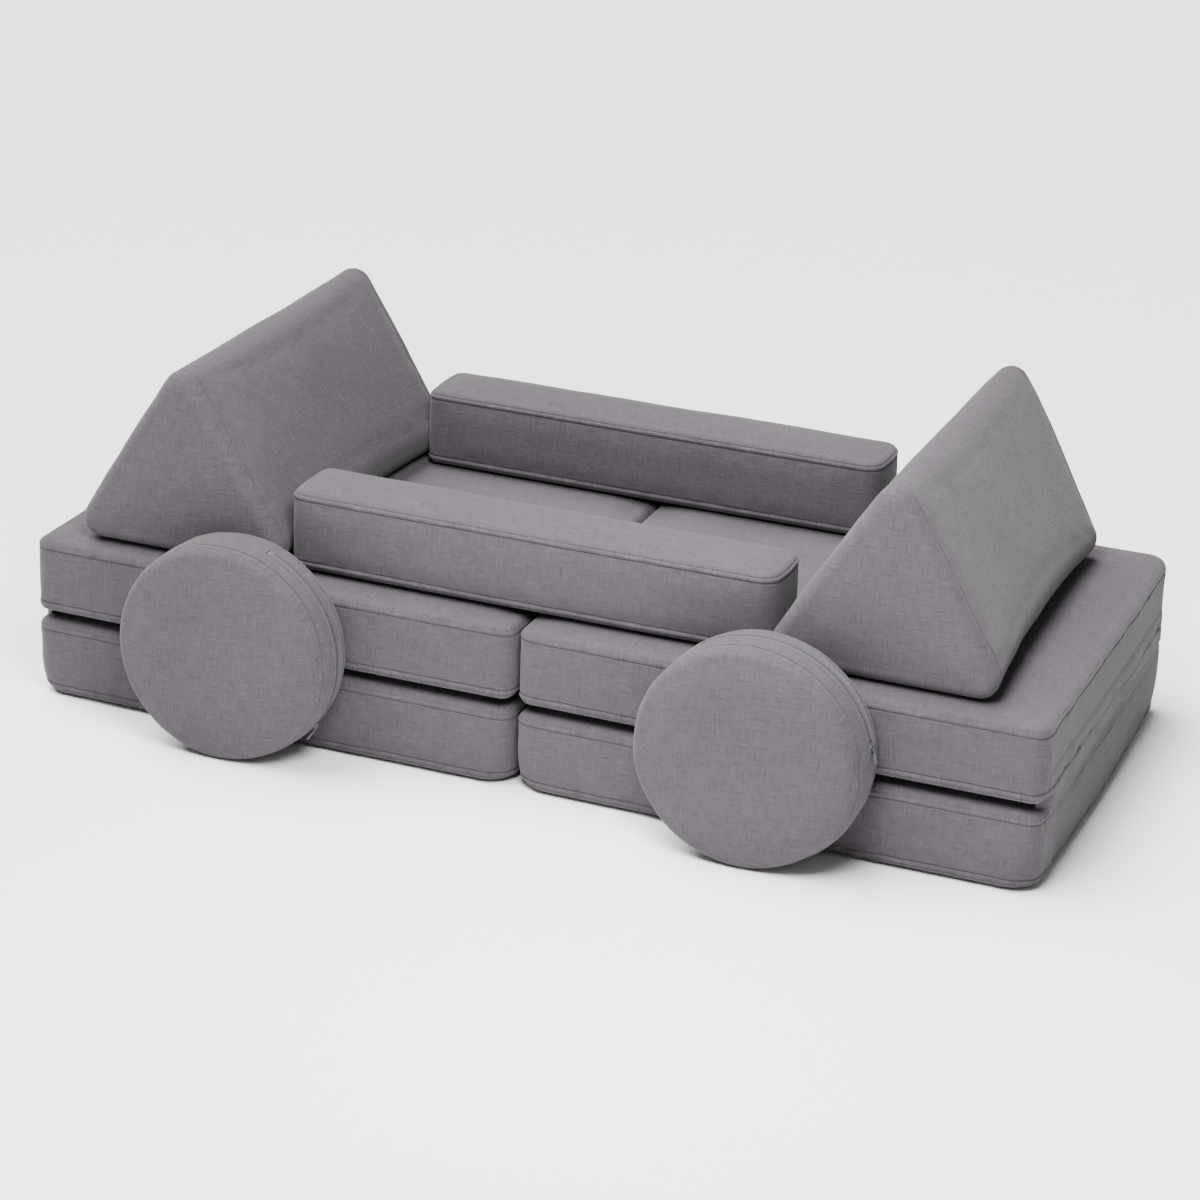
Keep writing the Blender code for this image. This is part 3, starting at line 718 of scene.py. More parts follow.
    def half_profile(self, crown):
        """The low half's rings near its seam; the mark is positive on the panel's side of the seam."""
        level = crown + self.edge + SEAM_DROP
        rim = self.rim_mark()
        steps = round((rim - EDGE_MARKS[-1]) / EDGE_STEP)
        last = EDGE_MARKS[-1]
        marks = list(EDGE_MARKS) + [last + (rim - last) * k / steps for k in range(1, steps)]
        rings = [(self.edge, crown, rim)]
        for mark in reversed(marks):
            arc = (mark - SEAM_DROP) / self.edge
            if arc <= 0.0:
                rings.append((self.band_inset(level - mark), level - mark, mark))
            else:
                rings.append((self.edge * (1 - math.cos(arc)), crown + self.edge * (1 - math.sin(arc)), mark))
        rings.append((self.band_inset(level), level, 0.0))
        for mark in BAND_MARKS:
            rings.append((self.band_inset(level + mark), level + mark, -mark))
        return rings

    def rim_mark(self):
        """Distance from the topstitched line to the panel's rim, along the section."""
        return self.edge * math.pi / 2 + SEAM_DROP

    def rim_distances(self, points):
        """Distance of each point to each side of the panel's rim, one column a side."""
        if self.corners is None:
            radius = DISC_RADIUS - BAND_BULGE - self.edge
            return (radius - np.linalg.norm(points, axis=1))[:, None]
        columns = []
        total = len(self.corners)
        for i in range(total):
            side = (self.corners[(i + 1) % total] - self.corners[i]).normalized()
            inward = np.array((-side.y, side.x))
            columns.append((points - np.array(self.corners[i])) @ inward - self.edge)
        return np.stack(columns, axis=1)

    def crown_share(self, points):
        """0 at the rim of a panel and 1 where its crown is full."""
        share = np.clip(self.rim_distances(points) / self.reach, 0.0, 1.0)
        return np.prod(1 - (1 - share) ** 2, axis=1)

    def panel_points(self, rim):
        """Inner points of a panel and its faces, as rows of vertex numbers counted from the rim's first."""
        if self.corners is not None and len(self.corners) == 4:
            return self.grid_panel(rim)
        return self.ringed_panel(rim)

    def grid_panel(self, rim):
        """A rectangle's panel: a grid whose outer points are the rim's."""
        columns, rows = self.rows_of_side(0), self.rows_of_side(1)
        front = rim[:columns + 1]
        right = rim[columns:columns + rows + 1]
        back = rim[columns + rows:2 * columns + rows + 1][::-1]
        left = np.concatenate((rim[2 * columns + rows:], rim[:1]))[::-1]
        numbers = np.zeros((columns + 1, rows + 1), int)
        numbers[:, 0] = np.arange(columns + 1)
        numbers[columns, :] = columns + np.arange(rows + 1)
        numbers[:, rows] = 2 * columns + rows - np.arange(columns + 1)
        numbers[0, 1:] = len(rim) - np.arange(1, rows + 1)
        inner_numbers = np.arange((columns - 1) * (rows - 1)).reshape(columns - 1, rows - 1)
        numbers[1:columns, 1:rows] = len(rim) + inner_numbers
        u = (np.arange(1, columns) / columns)[:, None, None]
        v = (np.arange(1, rows) / rows)[None, :, None]
        inner = ((1 - v) * front[1:columns, None] + v * back[1:columns, None]
                 + (1 - u) * left[None, 1:rows] + u * right[None, 1:rows]
                 - (1 - u) * (1 - v) * front[0] - u * (1 - v) * front[-1]
                 - (1 - u) * v * back[0] - u * v * back[-1])
        a, b = numbers[:-1, :-1].ravel(), numbers[1:, :-1].ravel()
        c, d = numbers[1:, 1:].ravel(), numbers[:-1, 1:].ravel()
        return inner.reshape(-1, 2), [tuple(map(int, face)) for face in np.stack((a, b, c, d), axis=1)]

    def ringed_panel(self, rim):
        """A round or three-cornered panel: rings that shrink to its middle."""
        centre = rim.mean(axis=0)
        if self.corners is not None:
            centre = self.inscribed_centre()
        reach = np.linalg.norm(rim - centre, axis=1).min()
        count = max(LEAST_PANEL_RINGS, round(reach / bpy.context.scene.sofa_sizes.mesh_step))
        total = len(rim)
        inner = np.concatenate([centre + (rim - centre) * (1 - k / count) for k in range(1, count)])
        inner = np.concatenate((inner, centre[None]))
        faces = []
        for k in range(count - 1):
            for i in range(total):
                j = (i + 1) % total
                faces.append((k * total + i, k * total + j, (k + 1) * total + j, (k + 1) * total + i))
        last = (count - 1) * total
        faces += [(last + i, last + (i + 1) % total, last + total) for i in range(total)]
        return inner, faces

    def inscribed_centre(self):
        """Middle of the circle that touches all three sides."""
        a, b, c = self.corners
        weights = ((b - c).length, (c - a).length, (a - b).length)
        middle = (a * weights[0] + b * weights[1] + c * weights[2]) / sum(weights)
        return np.array(middle)

    def shape(self, inset=0.0):
        """Local points, faces, and each point's distances from the low seam, the high seam and the start.

        The points of the rings come first, ring after ring; inset makes the same form smaller all round.
        """
        profile = self.profile()
        total = len(self.path)
        low_seam = self.crown[0] + self.edge + SEAM_DROP
        high_seam = self.thickness - self.crown[1] - self.edge - SEAM_DROP
        points, low_marks, high_marks, along = [], [], [], []
        for ring_inset, height, mark in profile:
            z = min(max(height, inset), self.thickness - inset) if inset else height
            ring = np.array([tuple(point) for point in self.outline(ring_inset + inset, height)])
            points.append(np.column_stack((ring, np.full(total, z))))
            in_high_half = height > self.thickness / 2
            low_mark = low_seam - height
            if mark is not None and mark > 0 and not in_high_half:
                low_mark = mark
            high_mark = height - high_seam
            if mark is not None and mark < 0 and in_high_half:
                high_mark = -mark
            low_marks.append(np.full(total, low_mark))
            high_marks.append(np.full(total, high_mark))
            along.append(self.along)
        faces = []
        for r in range(len(profile) - 1):
            first = r * total
            second = first + total
            for i in range(total):
                j = (i + 1) % total
                faces.append((first + i, first + j, second + j, second + i))
        rim_mark = self.rim_mark()
        count = len(profile) * total
        for high in (False, True):
            rim_ring = len(profile) - 1 if high else 0
            start = rim_ring * total
            inner, panel = self.panel_points(points[rim_ring][:, :2])
            base = self.crown[1 if high else 0]
            rise = base * self.crown_share(inner)
            z = self.thickness - base + rise if high else base - rise
            z = np.clip(z, inset, self.thickness - inset)
            points.append(np.column_stack((inner, z)))
            inside = rim_mark + np.maximum(self.rim_distances(inner).min(axis=1), 0.0)
            low_marks.append(np.full(len(inner), -1.0) if high else inside)
            high_marks.append(inside if high else np.full(len(inner), -1.0))
            along.append(self.nearest_along(inner))
            for face in panel:
                numbers = [start + n if n < total else count + n - total for n in face]
                faces.append(tuple(numbers if high else reversed(numbers)))
            count += len(inner)
        return (np.concatenate(points), faces, np.concatenate(low_marks), np.concatenate(high_marks),
                np.concatenate(along))

    def nearest_along(self, inner):
        """The outline coordinate next to each inner point."""
        found = np.zeros(len(inner))
        for start in range(0, len(inner), POINTS_AT_ONCE):
            part = slice(start, start + POINTS_AT_ONCE)
            gaps = ((inner[part][:, None] - self.path[None]) ** 2).sum(axis=2)
            found[part] = self.along[gaps.argmin(axis=1)]
        return found

    def ring_at(self, high, mark=0.0):
        """Number of the ring that lies at a mark of the low or the high seam."""
        profile = self.profile()
        wanted = self.half_profile(self.crown[1 if high else 0])
        index = min(range(len(wanted)), key=lambda k: abs(wanted[k][2] - mark))
        return len(profile) - 1 - index if high else index


def boxed_block(name, body, kind, radii, fullness=(0.0, 0.0), spread=0.0):
    """A rectangular block that fills its CAD cover's box; its back is flat for the zip."""
    bulges = (SIDE_BULGE, SIDE_BULGE, 0.0, SIDE_BULGE)
    low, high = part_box(name + "_cover")
    middle = (low + high) / 2
    half = (high - low) / 2
    front, right, back, left = (bulge + BAND_BULGE for bulge in bulges)
    left -= fullness[0]
    right -= fullness[1]
    corners = [(-half.x + left, -half.y + front), (half.x - right, -half.y + front),
               (half.x - right, half.y - back), (-half.x + left, half.y - back)]
    place = Matrix.Translation((middle.x, middle.y, low.z))
    return Block(name, body, high.z - low.z, place, corners=corners, radii=radii, bulges=bulges,
                 spread=spread, **FORMS[kind])


def slab_block(side_name, level_name):
    """A mat's slab, from its CAD cover's box."""
    upper, left = level_name == "upper", side_name == "left"
    body = side_name + ("_seat" if upper else "_base")
    radii = [SLAB_CORNER] * 4
    radii[3 if left else 2] = SLAB_BACK_CORNER if upper else SLAB_CORNER
    fullness = (SLAB_FULLNESS, 0.0) if left else (0.0, SLAB_FULLNESS)
    spread = 0.0 if upper else -SLAB_SPREAD if left else SLAB_SPREAD
    return boxed_block(f"{side_name}_{level_name}", body, level_name, radii, fullness, spread)


def bar_block(name):
    """A long bar, from its CAD cover's box."""
    return boxed_block(name, name, "bar", [BAR_CORNER, BAR_RIGHT_CORNER, BAR_RIGHT_CORNER, BAR_CORNER])


def triangle_block(name):
    """A prism whose thickness runs from back to front."""
    low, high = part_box(name + "_cover")
    half = TRIANGLE_WIDTH / 2 - BAND_BULGE
    corners = [(-half, BAND_BULGE), (half, BAND_BULGE), (0.0, TRIANGLE_PEAK)]
    radii = [TRIANGLE_FOOT_RADIUS, TRIANGLE_FOOT_RADIUS, TRIANGLE_RIDGE_RADIUS]
    place = turned(((1, 0, 0), (0, 0, 1), (0, -1, 0)), ((low.x + high.x) / 2, high.y, low.z))
    return Block(name, name, high.y - low.y, place, corners=corners, radii=radii,
                 bulges=(0.0, SIDE_BULGE, SIDE_BULGE), squat=TRIANGLE_SQUATS[name], tuck=TRIANGLE_TUCKS[name],
                 **FORMS["triangle"])


def disc_block(name):
    """A disc that leans on the front; its zip's joint gives its middle and axle."""
    joint = JOINTS[name + "_zip_run"]
    axle = Vector(joint["axis"]).normalized()
    if axle.y > 0:
        axle.negate()
    origin = Vector(joint["pos_m"]) - axle * DISC_THICKNESS / 2
    place = turned(((1, 0, 0), axle.cross(Vector((1, 0, 0))), axle), origin)
    return Block(name, name, DISC_THICKNESS, place, **FORMS["disc"])


def make_object(name, points, faces):
    """A smooth-shaded object at the origin from points and faces."""
    mesh = bpy.data.meshes.new(name)
    mesh.from_pydata([tuple(map(float, point)) for point in points], [], faces)
    mesh.update()
    mesh.shade_smooth()
    obj = bpy.data.objects.new(name, mesh)
    bpy.context.scene.collection.objects.link(obj)
    return obj


def read_all(items, field, kind, width=1):
    """One field of all the items of a collection, as an array."""
    values = np.zeros(len(items) * width, kind)
    items.foreach_get(field, values)
    return values


def coordinates(mesh):
    """A mesh's points as an array."""
    return read_all(mesh.vertices, "co", np.float32, 3).reshape(-1, 3).astype(float)


def move_points(mesh, points):
    """Give a mesh's points new places."""
    mesh.vertices.foreach_set("co", points.astype(np.float32).ravel())
    mesh.update()


def swell(obj):
    """Simulate the cover as cloth under air pressure and return how far each point moves outwards."""
    sizes = bpy.context.scene.sofa_sizes
    copy = obj.copy()
    copy.data = obj.data.copy()
    bpy.context.scene.collection.objects.link(copy)
    remesh = copy.modifiers.new("remesh", 'REMESH')
    remesh.mode = 'VOXEL'
    remesh.voxel_size = sizes.swell_voxel
    graph = bpy.context.evaluated_depsgraph_get()
    mesh = bpy.data.meshes.new_from_object(copy.evaluated_get(graph))
    copy.modifiers.clear()
    copy.data = mesh
    rest = coordinates(mesh)
    cloth = copy.modifiers.new("swell", 'CLOTH')
    cloth.settings.use_pressure = True
    cloth.settings.uniform_pressure_force = sizes.swell_pressure
    cloth.settings.effector_weights.gravity = 0.0
    cloth.settings.quality = SWELL_QUALITY
    cloth.point_cache.frame_start = 1
    cloth.point_cache.frame_end = sizes.swell_frames
    for number in range(1, sizes.swell_frames + 1):
        bpy.context.scene.frame_set(number)
    graph = bpy.context.evaluated_depsgraph_get()
    swollen = bpy.data.meshes.new_from_object(copy.evaluated_get(graph))
    moved = coordinates(swollen) - rest
    length = np.linalg.norm(moved, axis=1)
    moved *= (np.minimum(length, sizes.swell_cap) / np.maximum(length, TINY))[:, None]
    bpy.context.scene.frame_set(1)
    bpy.data.objects.remove(copy, do_unlink=True)
    tree = kdtree.KDTree(len(rest))
    for i, point in enumerate(rest):
        tree.insert(point, i)
    tree.balance()
    points = coordinates(obj.data)
    normals = vertex_normals(obj.data)
    result = np.zeros(len(points))
    for i, point in enumerate(points):
        weights, total = 0.0, np.zeros(3)
        for _, index, distance in tree.find_n(point, SWELL_NEIGHBOURS):
            weight = 1.0 / (distance + SWELL_NEAR) ** 2
            weights += weight
            total += moved[index] * weight
        result[i] = total @ normals[i] / weights
    return result


def vertex_normals(mesh):
    """A mesh's vertex normals as an array."""
    return np.array([normal.vector for normal in mesh.vertex_normals], float)


def box_distance(points, low, high):
    """Distance of each point to a box."""
    gap = np.maximum(np.maximum(np.array(low) - points, points - np.array(high)), 0.0)
    return np.linalg.norm(gap, axis=1)


def smooth_share(values, low, high):
    """0 below low, 1 above high, smooth in between."""
    t = np.clip((values - low) / (high - low), 0.0, 1.0)
    return t * t * (3 - 2 * t)


def rest_share(block, points):
    """0 where the block touches its neighbours or the floor, 1 where its cover is free."""
    free = smooth_share(points[:, 2], *FLOOR_FREE)
    for other in BLOCK_NAMES:
        if other != block.name:
            distance = box_distance(points, *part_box(other + "_cover"))
            free = np.minimum(free, smooth_share(distance, *BLOCK_FREE))
    near_zip = box_distance(points, *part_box(block.name + "_zip"))
    return np.minimum(free, smooth_share(near_zip, *ZIP_FREE))


def smooth_noise(points, size, seed):
    """Repeatable noise from -1 to 1 at each point, with bumps of that size."""
    lattice = np.random.RandomState(seed).uniform(-1.0, 1.0, (NOISE_CELLS,) * 3)
    place = points / size
    cell = np.floor(place).astype(int)
    part = place - cell
    part = part * part * (3 - 2 * part)
    total = np.zeros(len(points))
    for corner in range(8):
        step = np.array((corner & 1, corner >> 1 & 1, corner >> 2 & 1))
        x, y, z = ((cell + step) % NOISE_CELLS).T
        weight = np.prod(np.where(step, part, 1 - part), axis=1)
        total += lattice[x, y, z] * weight
    return total


def summed_noise(points, layers, seed=0):
    """Several noises together; each layer is (size of the bumps, share, what it adds to the seed)."""
    return sum(share * smooth_noise(points, size, seed + step) for size, share, step in layers)


def seam_relief(marks, share, sizes):
    """(height, ridge share, share of painted shade in the stitched line and the crease) beside a seam, from
    the distance to its topstitched line.

    The share is how strongly the folded allowance shows.
    """
    width = sizes.ridge_width
    stitch = np.exp(-(marks / STITCH_SPREAD) ** 2)
    crease = np.exp(-((marks - width) / CREASE_SPREAD) ** 2)
    hump = np.sin(np.pi * np.clip(marks / width, 0, 1)) ** RIDGE_POWER
    ridge = np.where((marks > 0) & (marks < width), hump, 0.0)
    height = share * (ridge * sizes.ridge_height - crease * sizes.crease_depth) - stitch * sizes.seam_depth
    # The third value is painted shade: full along the stitched line, and the crease's share times
    # CREASE_SHADE
    return height, ridge * share, np.maximum(stitch, crease * share * CREASE_SHADE)


def weave_map(obj, block, points, marks):
    """A UV map in metres: a panel's own plane, and along and across the band."""
    layer = obj.data.uv_layers.new(name="weave")
    loops = read_all(obj.data.loops, "vertex_index", np.int32)
    starts = read_all(obj.data.polygons, "loop_start", np.int32)
    sizes = read_all(obj.data.polygons, "loop_total", np.int32)
    low_marks, high_marks, along = marks
    level = np.maximum(np.add.reduceat(low_marks[loops], starts), np.add.reduceat(high_marks[loops], starts))
    track = along[loops]
    wraps = np.maximum.reduceat(track, starts) - np.minimum.reduceat(track, starts) > block.perimeter / 2
    on_panel = np.repeat(level > 0.0, sizes)
    track = np.where(np.repeat(wraps, sizes) & (track < block.perimeter / 2), track + block.perimeter, track)
    flat = points[loops]
    values = np.where(on_panel[:, None], flat[:, :2], np.column_stack((track, flat[:, 2])))
    layer.data.foreach_set("uv", values.astype(np.float32).ravel())


def make_cover(block, swelling, seed):
    """The block's padded cover, with swelling, waves, puckers and its seams."""
    sizes = bpy.context.scene.sofa_sizes
    local, faces, low_marks, high_marks, along = block.shape()
    obj = make_object(block.name + "_cushion", local, faces)
    block.set_down(obj)
    if swelling is None:
        swelling = swell(obj)
    points = coordinates(obj.data)
    normals = vertex_normals(obj.data)
    free = rest_share(block, points)
    marks = np.maximum(low_marks, high_marks)
    move = np.zeros(len(points))
    if swelling is not None:
        move += np.clip((swelling - SWELL_LEVEL) * SWELL_SHARE, -SWELL_DIP, SWELL_RISE)
    move += sizes.wave_height * summed_noise(points, WAVES, seed)
    track = np.column_stack((along, np.zeros(len(along)), np.where(high_marks > low_marks, 1.0, 0.0)))
    beside = np.exp(-np.abs(marks + GATHER_LEVEL) / GATHER_REACH)
    move += sizes.pucker_height * summed_noise(track, GATHERS, seed) * beside * GATHER_SHARE
    move *= free
    share = np.where(high_marks > low_marks, block.ridges[1], block.ridges[0])
    relief, ridge, groove = seam_relief(marks, share, sizes)
    move += relief
    move_points(obj.data, points + normals * move[:, None])
    # Seam attributes for the colour: the ridge share is wear that lightens it, the groove share is painted
    # shade that darkens it
    for name, values in (("ridge", ridge), ("groove", groove)):
        attribute = obj.data.attributes.new(name, 'FLOAT', 'POINT')
        attribute.data.foreach_set("value", values.astype(np.float32))
    weave_map(obj, block, local, (low_marks, high_marks, along))
    finish_piece(obj, cover_material(), block.body, block.name + "_cover")
    return swelling


def make_foam(block):
    """The foam core inside the cover."""
    local, faces, *_ = block.shape(FOAM_DEPTH)
    obj = make_object(block.name + "_core", local, faces)
    block.set_down(obj)
    finish_piece(obj, plain_material("open foam"), block.body, block.name + "_foam")


def make_pair(blocks, seed):
    """Covers and cores of two blocks of one size; the second takes over the first one's swelling."""
    swelling = None
    for number, block in enumerate(blocks):
        swelling = make_cover(block, swelling, seed + number)
        make_foam(block)


# Details that lie on the covers


def cover_of(block):
    """The finished cover of a block; the details can't be made before it."""
    cover = bpy.data.objects.get(block.name + "_cushion")
    if cover is None:
        raise RuntimeError(f"{block.name} has no cover yet")
    return cover


def surface_of(block):
    """The finished cover's surface, for rays."""
    mesh = cover_of(block).data
    return BVHTree.FromPolygons([vert.co for vert in mesh.vertices],
                                [face.vertices for face in mesh.polygons])


def start_piece(name, adder, **settings):
    """Add a primitive with nothing else selected, name it and apply its turn and size."""
    bpy.ops.object.select_all(action='DESELECT')
    adder(**settings)
    obj = bpy.context.object
    obj.name = name
    bpy.ops.object.transform_apply(location=True, rotation=True, scale=True)
    return obj


def select_where(obj, kind, test):
    """In edit mode, select only the vertices, edges or faces that pass a test."""
    bpy.ops.mesh.select_mode(type={'verts': 'VERT', 'edges': 'EDGE', 'faces': 'FACE'}[kind])
    bpy.ops.mesh.select_all(action='DESELECT')
    bm = bmesh.from_edit_mesh(obj.data)
    for element in getattr(bm, kind):
        element.select_set(test(element))
    bm.select_flush_mode()
    bmesh.update_edit_mesh(obj.data)


def rounded_bar(name, size, middle, bevel, segments=1):
    """A box with all its edges rounded."""
    obj = start_piece(name, bpy.ops.mesh.primitive_cube_add, size=1.0, location=middle, scale=size)
    bpy.ops.object.mode_set(mode='EDIT')
    bpy.ops.mesh.select_all(action='SELECT')
    bpy.ops.mesh.bevel(offset=bevel, segments=segments, affect='EDGES')
    bpy.ops.object.mode_set(mode='OBJECT')
    return obj


def joined(name, parts):
    """Join finished parts into the first one."""
    bpy.ops.object.select_all(action='DESELECT')
    for part in parts:
        part.select_set(True)
    bpy.context.view_layer.objects.active = parts[0]
    bpy.ops.object.join()
    parts[0].name = name
    parts[0].data.name = name
    return parts[0]


def stitch_pattern(length, width):
    """One stitch along X: a bead of thread with pointed ends."""
    obj = start_piece("stitch_pattern", bpy.ops.mesh.primitive_cylinder_add, vertices=STITCH_SIDES,
                      radius=width / 2, depth=length * STITCH_FILL, end_fill_type='TRIFAN',
                      rotation=(0.0, math.pi / 2, 0.0))
    bpy.ops.object.mode_set(mode='EDIT')
    select_where(obj, 'verts', lambda vert: len(vert.link_edges) == STITCH_SIDES)
    bpy.ops.transform.resize(value=(1 / STITCH_FILL, 1.0, 1.0), center_override=(0.0, 0.0, 0.0))
    bpy.ops.object.mode_set(mode='OBJECT')
    return obj


def pattern_copies(name, pattern, places, axes):
    """One object with a copy of the pattern at each place; axes holds the three directions of each copy."""
    points = coordinates(pattern.data)
    count = len(points)
    spread = places[:, None] + np.einsum('pk,mkd->mpd', points, axes)
    faces = [tuple(face.vertices) for face in pattern.data.polygons]
    copied = [tuple(number + k * count for number in face) for k in range(len(places)) for face in faces]
    return make_object(name, spread.reshape(-1, 3), copied)


def unit(vectors):
    """Vectors of length one."""
    return vectors / np.maximum(np.linalg.norm(vectors, axis=1), TINY)[:, None]


def stations(points, normals, pitch, closed=True):
    """Even places along a line on a surface, with the line's direction, the side and the normal at each."""
    if closed:
        points = np.vstack((points, points[:1]))
        normals = np.vstack((normals, normals[:1]))
    steps = np.linalg.norm(np.diff(points, axis=0), axis=1)
    along = np.concatenate(([0.0], np.cumsum(steps)))
    count = max(1, round(along[-1] / pitch))
    where = (np.arange(count) + 0.5) * along[-1] / count

    def at(values, shift=0.0):
        return np.column_stack([np.interp(where + shift, along, values[:, k]) for k in range(3)])

    ahead = unit(at(points, pitch * LINE_PROBE) - at(points, -pitch * LINE_PROBE))
    outward = at(normals)
    outward = unit(outward - ahead * np.sum(outward * ahead, axis=1)[:, None])
    return at(points), np.stack((ahead, np.cross(outward, ahead), outward), axis=1)


class ZipTrack:
    """The line of a zip on its cover: s runs along it, h across it and d away from the fabric."""

    def __init__(self, block):
        self.block = block
        low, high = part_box(block.name + "_zip")
        self.disc = block.corners is None
        if self.disc:
            self.axle = block.place.to_3x3() @ Vector((0.0, 0.0, 1.0))
            self.middle = block.place @ Vector((0.0, 0.0, block.thickness / 2))
            self.start = DISC_ZIP_STARTS[block.name]
            self.length = DISC_ZIP_ANGLE * DISC_RADIUS
        else:
            self.length = high.x - low.x
            self.middle = Vector(((low.x + high.x) / 2, high.y, (low.z + high.z) / 2))
        self.tree = surface_of(block)

    def frame(self, s):
        """Centre line point and the three directions at a distance along the zip."""
        if not self.disc:
            axes = (Vector((-1.0, 0.0, 0.0)), Vector((0.0, 0.0, 1.0)), Vector((0.0, 1.0, 0.0)))
            return self.middle + axes[0] * s, axes
        angle = self.start + DISC_ZIP_ANGLE / 2 + s / DISC_RADIUS
        spoke = self.block.place.to_3x3() @ Vector((math.cos(angle), math.sin(angle), 0.0))
        return self.middle + spoke * DISC_RADIUS, (self.axle.cross(spoke), self.axle, spoke)

    def on_cover(self, s, h, d):
        """The point at (s, h), lifted from the cover's surface by d."""
        centre, (_, across, outward) = self.frame(s)
        start = centre + across * h + outward * ZIP_PROBE
        hit = self.tree.ray_cast(start, -outward)[0]
        if hit is None:
            raise RuntimeError(f"the zip of {self.block.name} runs off its cover")
        return hit + outward * d

    def lay(self, obj):
        """Move a piece built along X in flat coordinates onto the cover."""
        for vert in obj.data.vertices:
            vert.co = self.on_cover(*vert.co)
        obj.data.update()
        return obj

    def rows(self, pitch, margin, h=0.0, d=0.0):
        """Even places along the zip and their directions."""
        count = int((self.length - 2 * margin) / pitch)
        places, axes = [], []
        for k in range(count):
            s = (k - (count - 1) / 2) * pitch
            places.append(self.on_cover(s, h, d))
            axes.append([tuple(axis) for axis in self.frame(s)[1]])
        return np.array([tuple(place) for place in places]), np.array(axes)


def drawn_strip(name, section, length, step):
    """A closed strip along X: the section's (y, z) points at even stations."""
    count = max(2, round(length / step))
    total = len(section)
    points = [(-length / 2 + length * k / count, y, z) for k in range(count + 1) for y, z in section]
    faces = []
    for start in range(0, count * total, total):
        for i in range(total):
            following = (i + 1) % total
            faces.append((start + i, start + following, start + total + following, start + total + i))
    faces += [tuple(reversed(range(total))), tuple(range(count * total, (count + 1) * total))]
    return make_object(name, points, faces)


def shade_by_angle(obj):
    """Smooth shading with sharp edges kept sharp."""
    bpy.ops.object.select_all(action='DESELECT')
    obj.select_set(True)
    bpy.context.view_layer.objects.active = obj
    bpy.ops.object.shade_smooth_by_angle(angle=SHARP_ANGLE)


def finish_piece(obj, material, body, node=None):
    """Material, body, slot and the CAD node that a finished piece stands for."""
    obj.data.materials.clear()
    obj.data.materials.append(material)
    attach(obj, body)
    if node:
        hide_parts(node)
    return obj


def make_zip(block, tooth):
    """Tape, teeth, fabric lips and end bars of one zip."""
    track = ZipTrack(block)
    name = block.name
    half = track.length / 2
    tape_half = ZIP_HALF_HEIGHT - ZIP_TAPE_MARGIN
    tape_section = [(-tape_half, -ZIP_TAPE_SINK), (tape_half, -ZIP_TAPE_SINK), (tape_half, ZIP_TAPE_RISE),
                    (0.0, ZIP_TAPE_RISE), (-tape_half, ZIP_TAPE_RISE)]
    tape = track.lay(drawn_strip(name + "_zip_tape", tape_section, track.length, ZIP_STEP))
    finish_piece(tape, plain_material("zip tape"), block.body, name + "_zip")
    places, axes = track.rows(TOOTH_PITCH, ZIP_END_STOP, 0.0, ZIP_TAPE_RISE + TOOTH_HEIGHT * TOOTH_LIFT)
    side = np.where(np.arange(len(places)) % 2, 1.0, -1.0)[:, None]
    teeth = pattern_copies(name + "_zip_teeth", tooth, places + axes[:, 1] * side * TOOTH_SHIFT, axes)
    finish_piece(teeth, plain_material("zip tape"), block.body)
    lips = []
    for edge in (-1, 1):
        centre, width, height = edge * (ZIP_HALF_HEIGHT + LIP_WIDTH * LIP_SHIFT), LIP_WIDTH, LIP_HEIGHT
        if track.disc:
            centre, width, height = edge * (FLAP_WIDTH / 2 + FLAP_GAP), FLAP_WIDTH, FLAP_HEIGHT
        section = [(centre + width / 2 * math.cos(a), height * math.sin(a) - LIP_SINK)
                   for a in (math.tau * k / LIP_POINTS for k in range(LIP_POINTS))]
        lips.append(drawn_strip(f"{name}_lip", section, track.length + 2 * LIP_OVERHANG, ZIP_STEP))
    lip = track.lay(joined(name + "_zip_lips", lips))
    finish_piece(lip, cover_material(), block.body)
    plain_weave(lip, lambda co: (co.x, co.z + co.y))
    stops = []
    for end in (-1, 1):
        stops.append(rounded_bar("stop", (END_BAR_WIDTH, 2 * ZIP_HALF_HEIGHT + LIP_WIDTH, END_BAR_HEIGHT),
                                 (end * (half + LIP_OVERHANG / 2), 0.0, LIP_HEIGHT - LIP_SINK),
                                 END_BAR_HEIGHT * END_BAR_BEVEL, 2))
    bars = track.lay(joined(name + "_zip_end_bars", stops))
    finish_piece(bars, plain_material("sewing thread"), block.body)


def plain_weave(obj, plane):
    """A weave map in metres for a small fabric piece; plane gives the map's point for a point of the mesh."""
    layer = obj.data.uv_layers.new(name="weave")
    for loop in obj.data.loops:
        layer.data[loop.index].uv = plane(obj.data.vertices[loop.vertex_index].co)


def tooth_pattern():
    """One zip tooth, in the track's directions."""
    return rounded_bar("tooth_pattern", (TOOTH_LENGTH, TOOTH_REACH, TOOTH_HEIGHT), (0.0, 0.0, 0.0),
                       TOOTH_LENGTH * TOOTH_BEVEL)


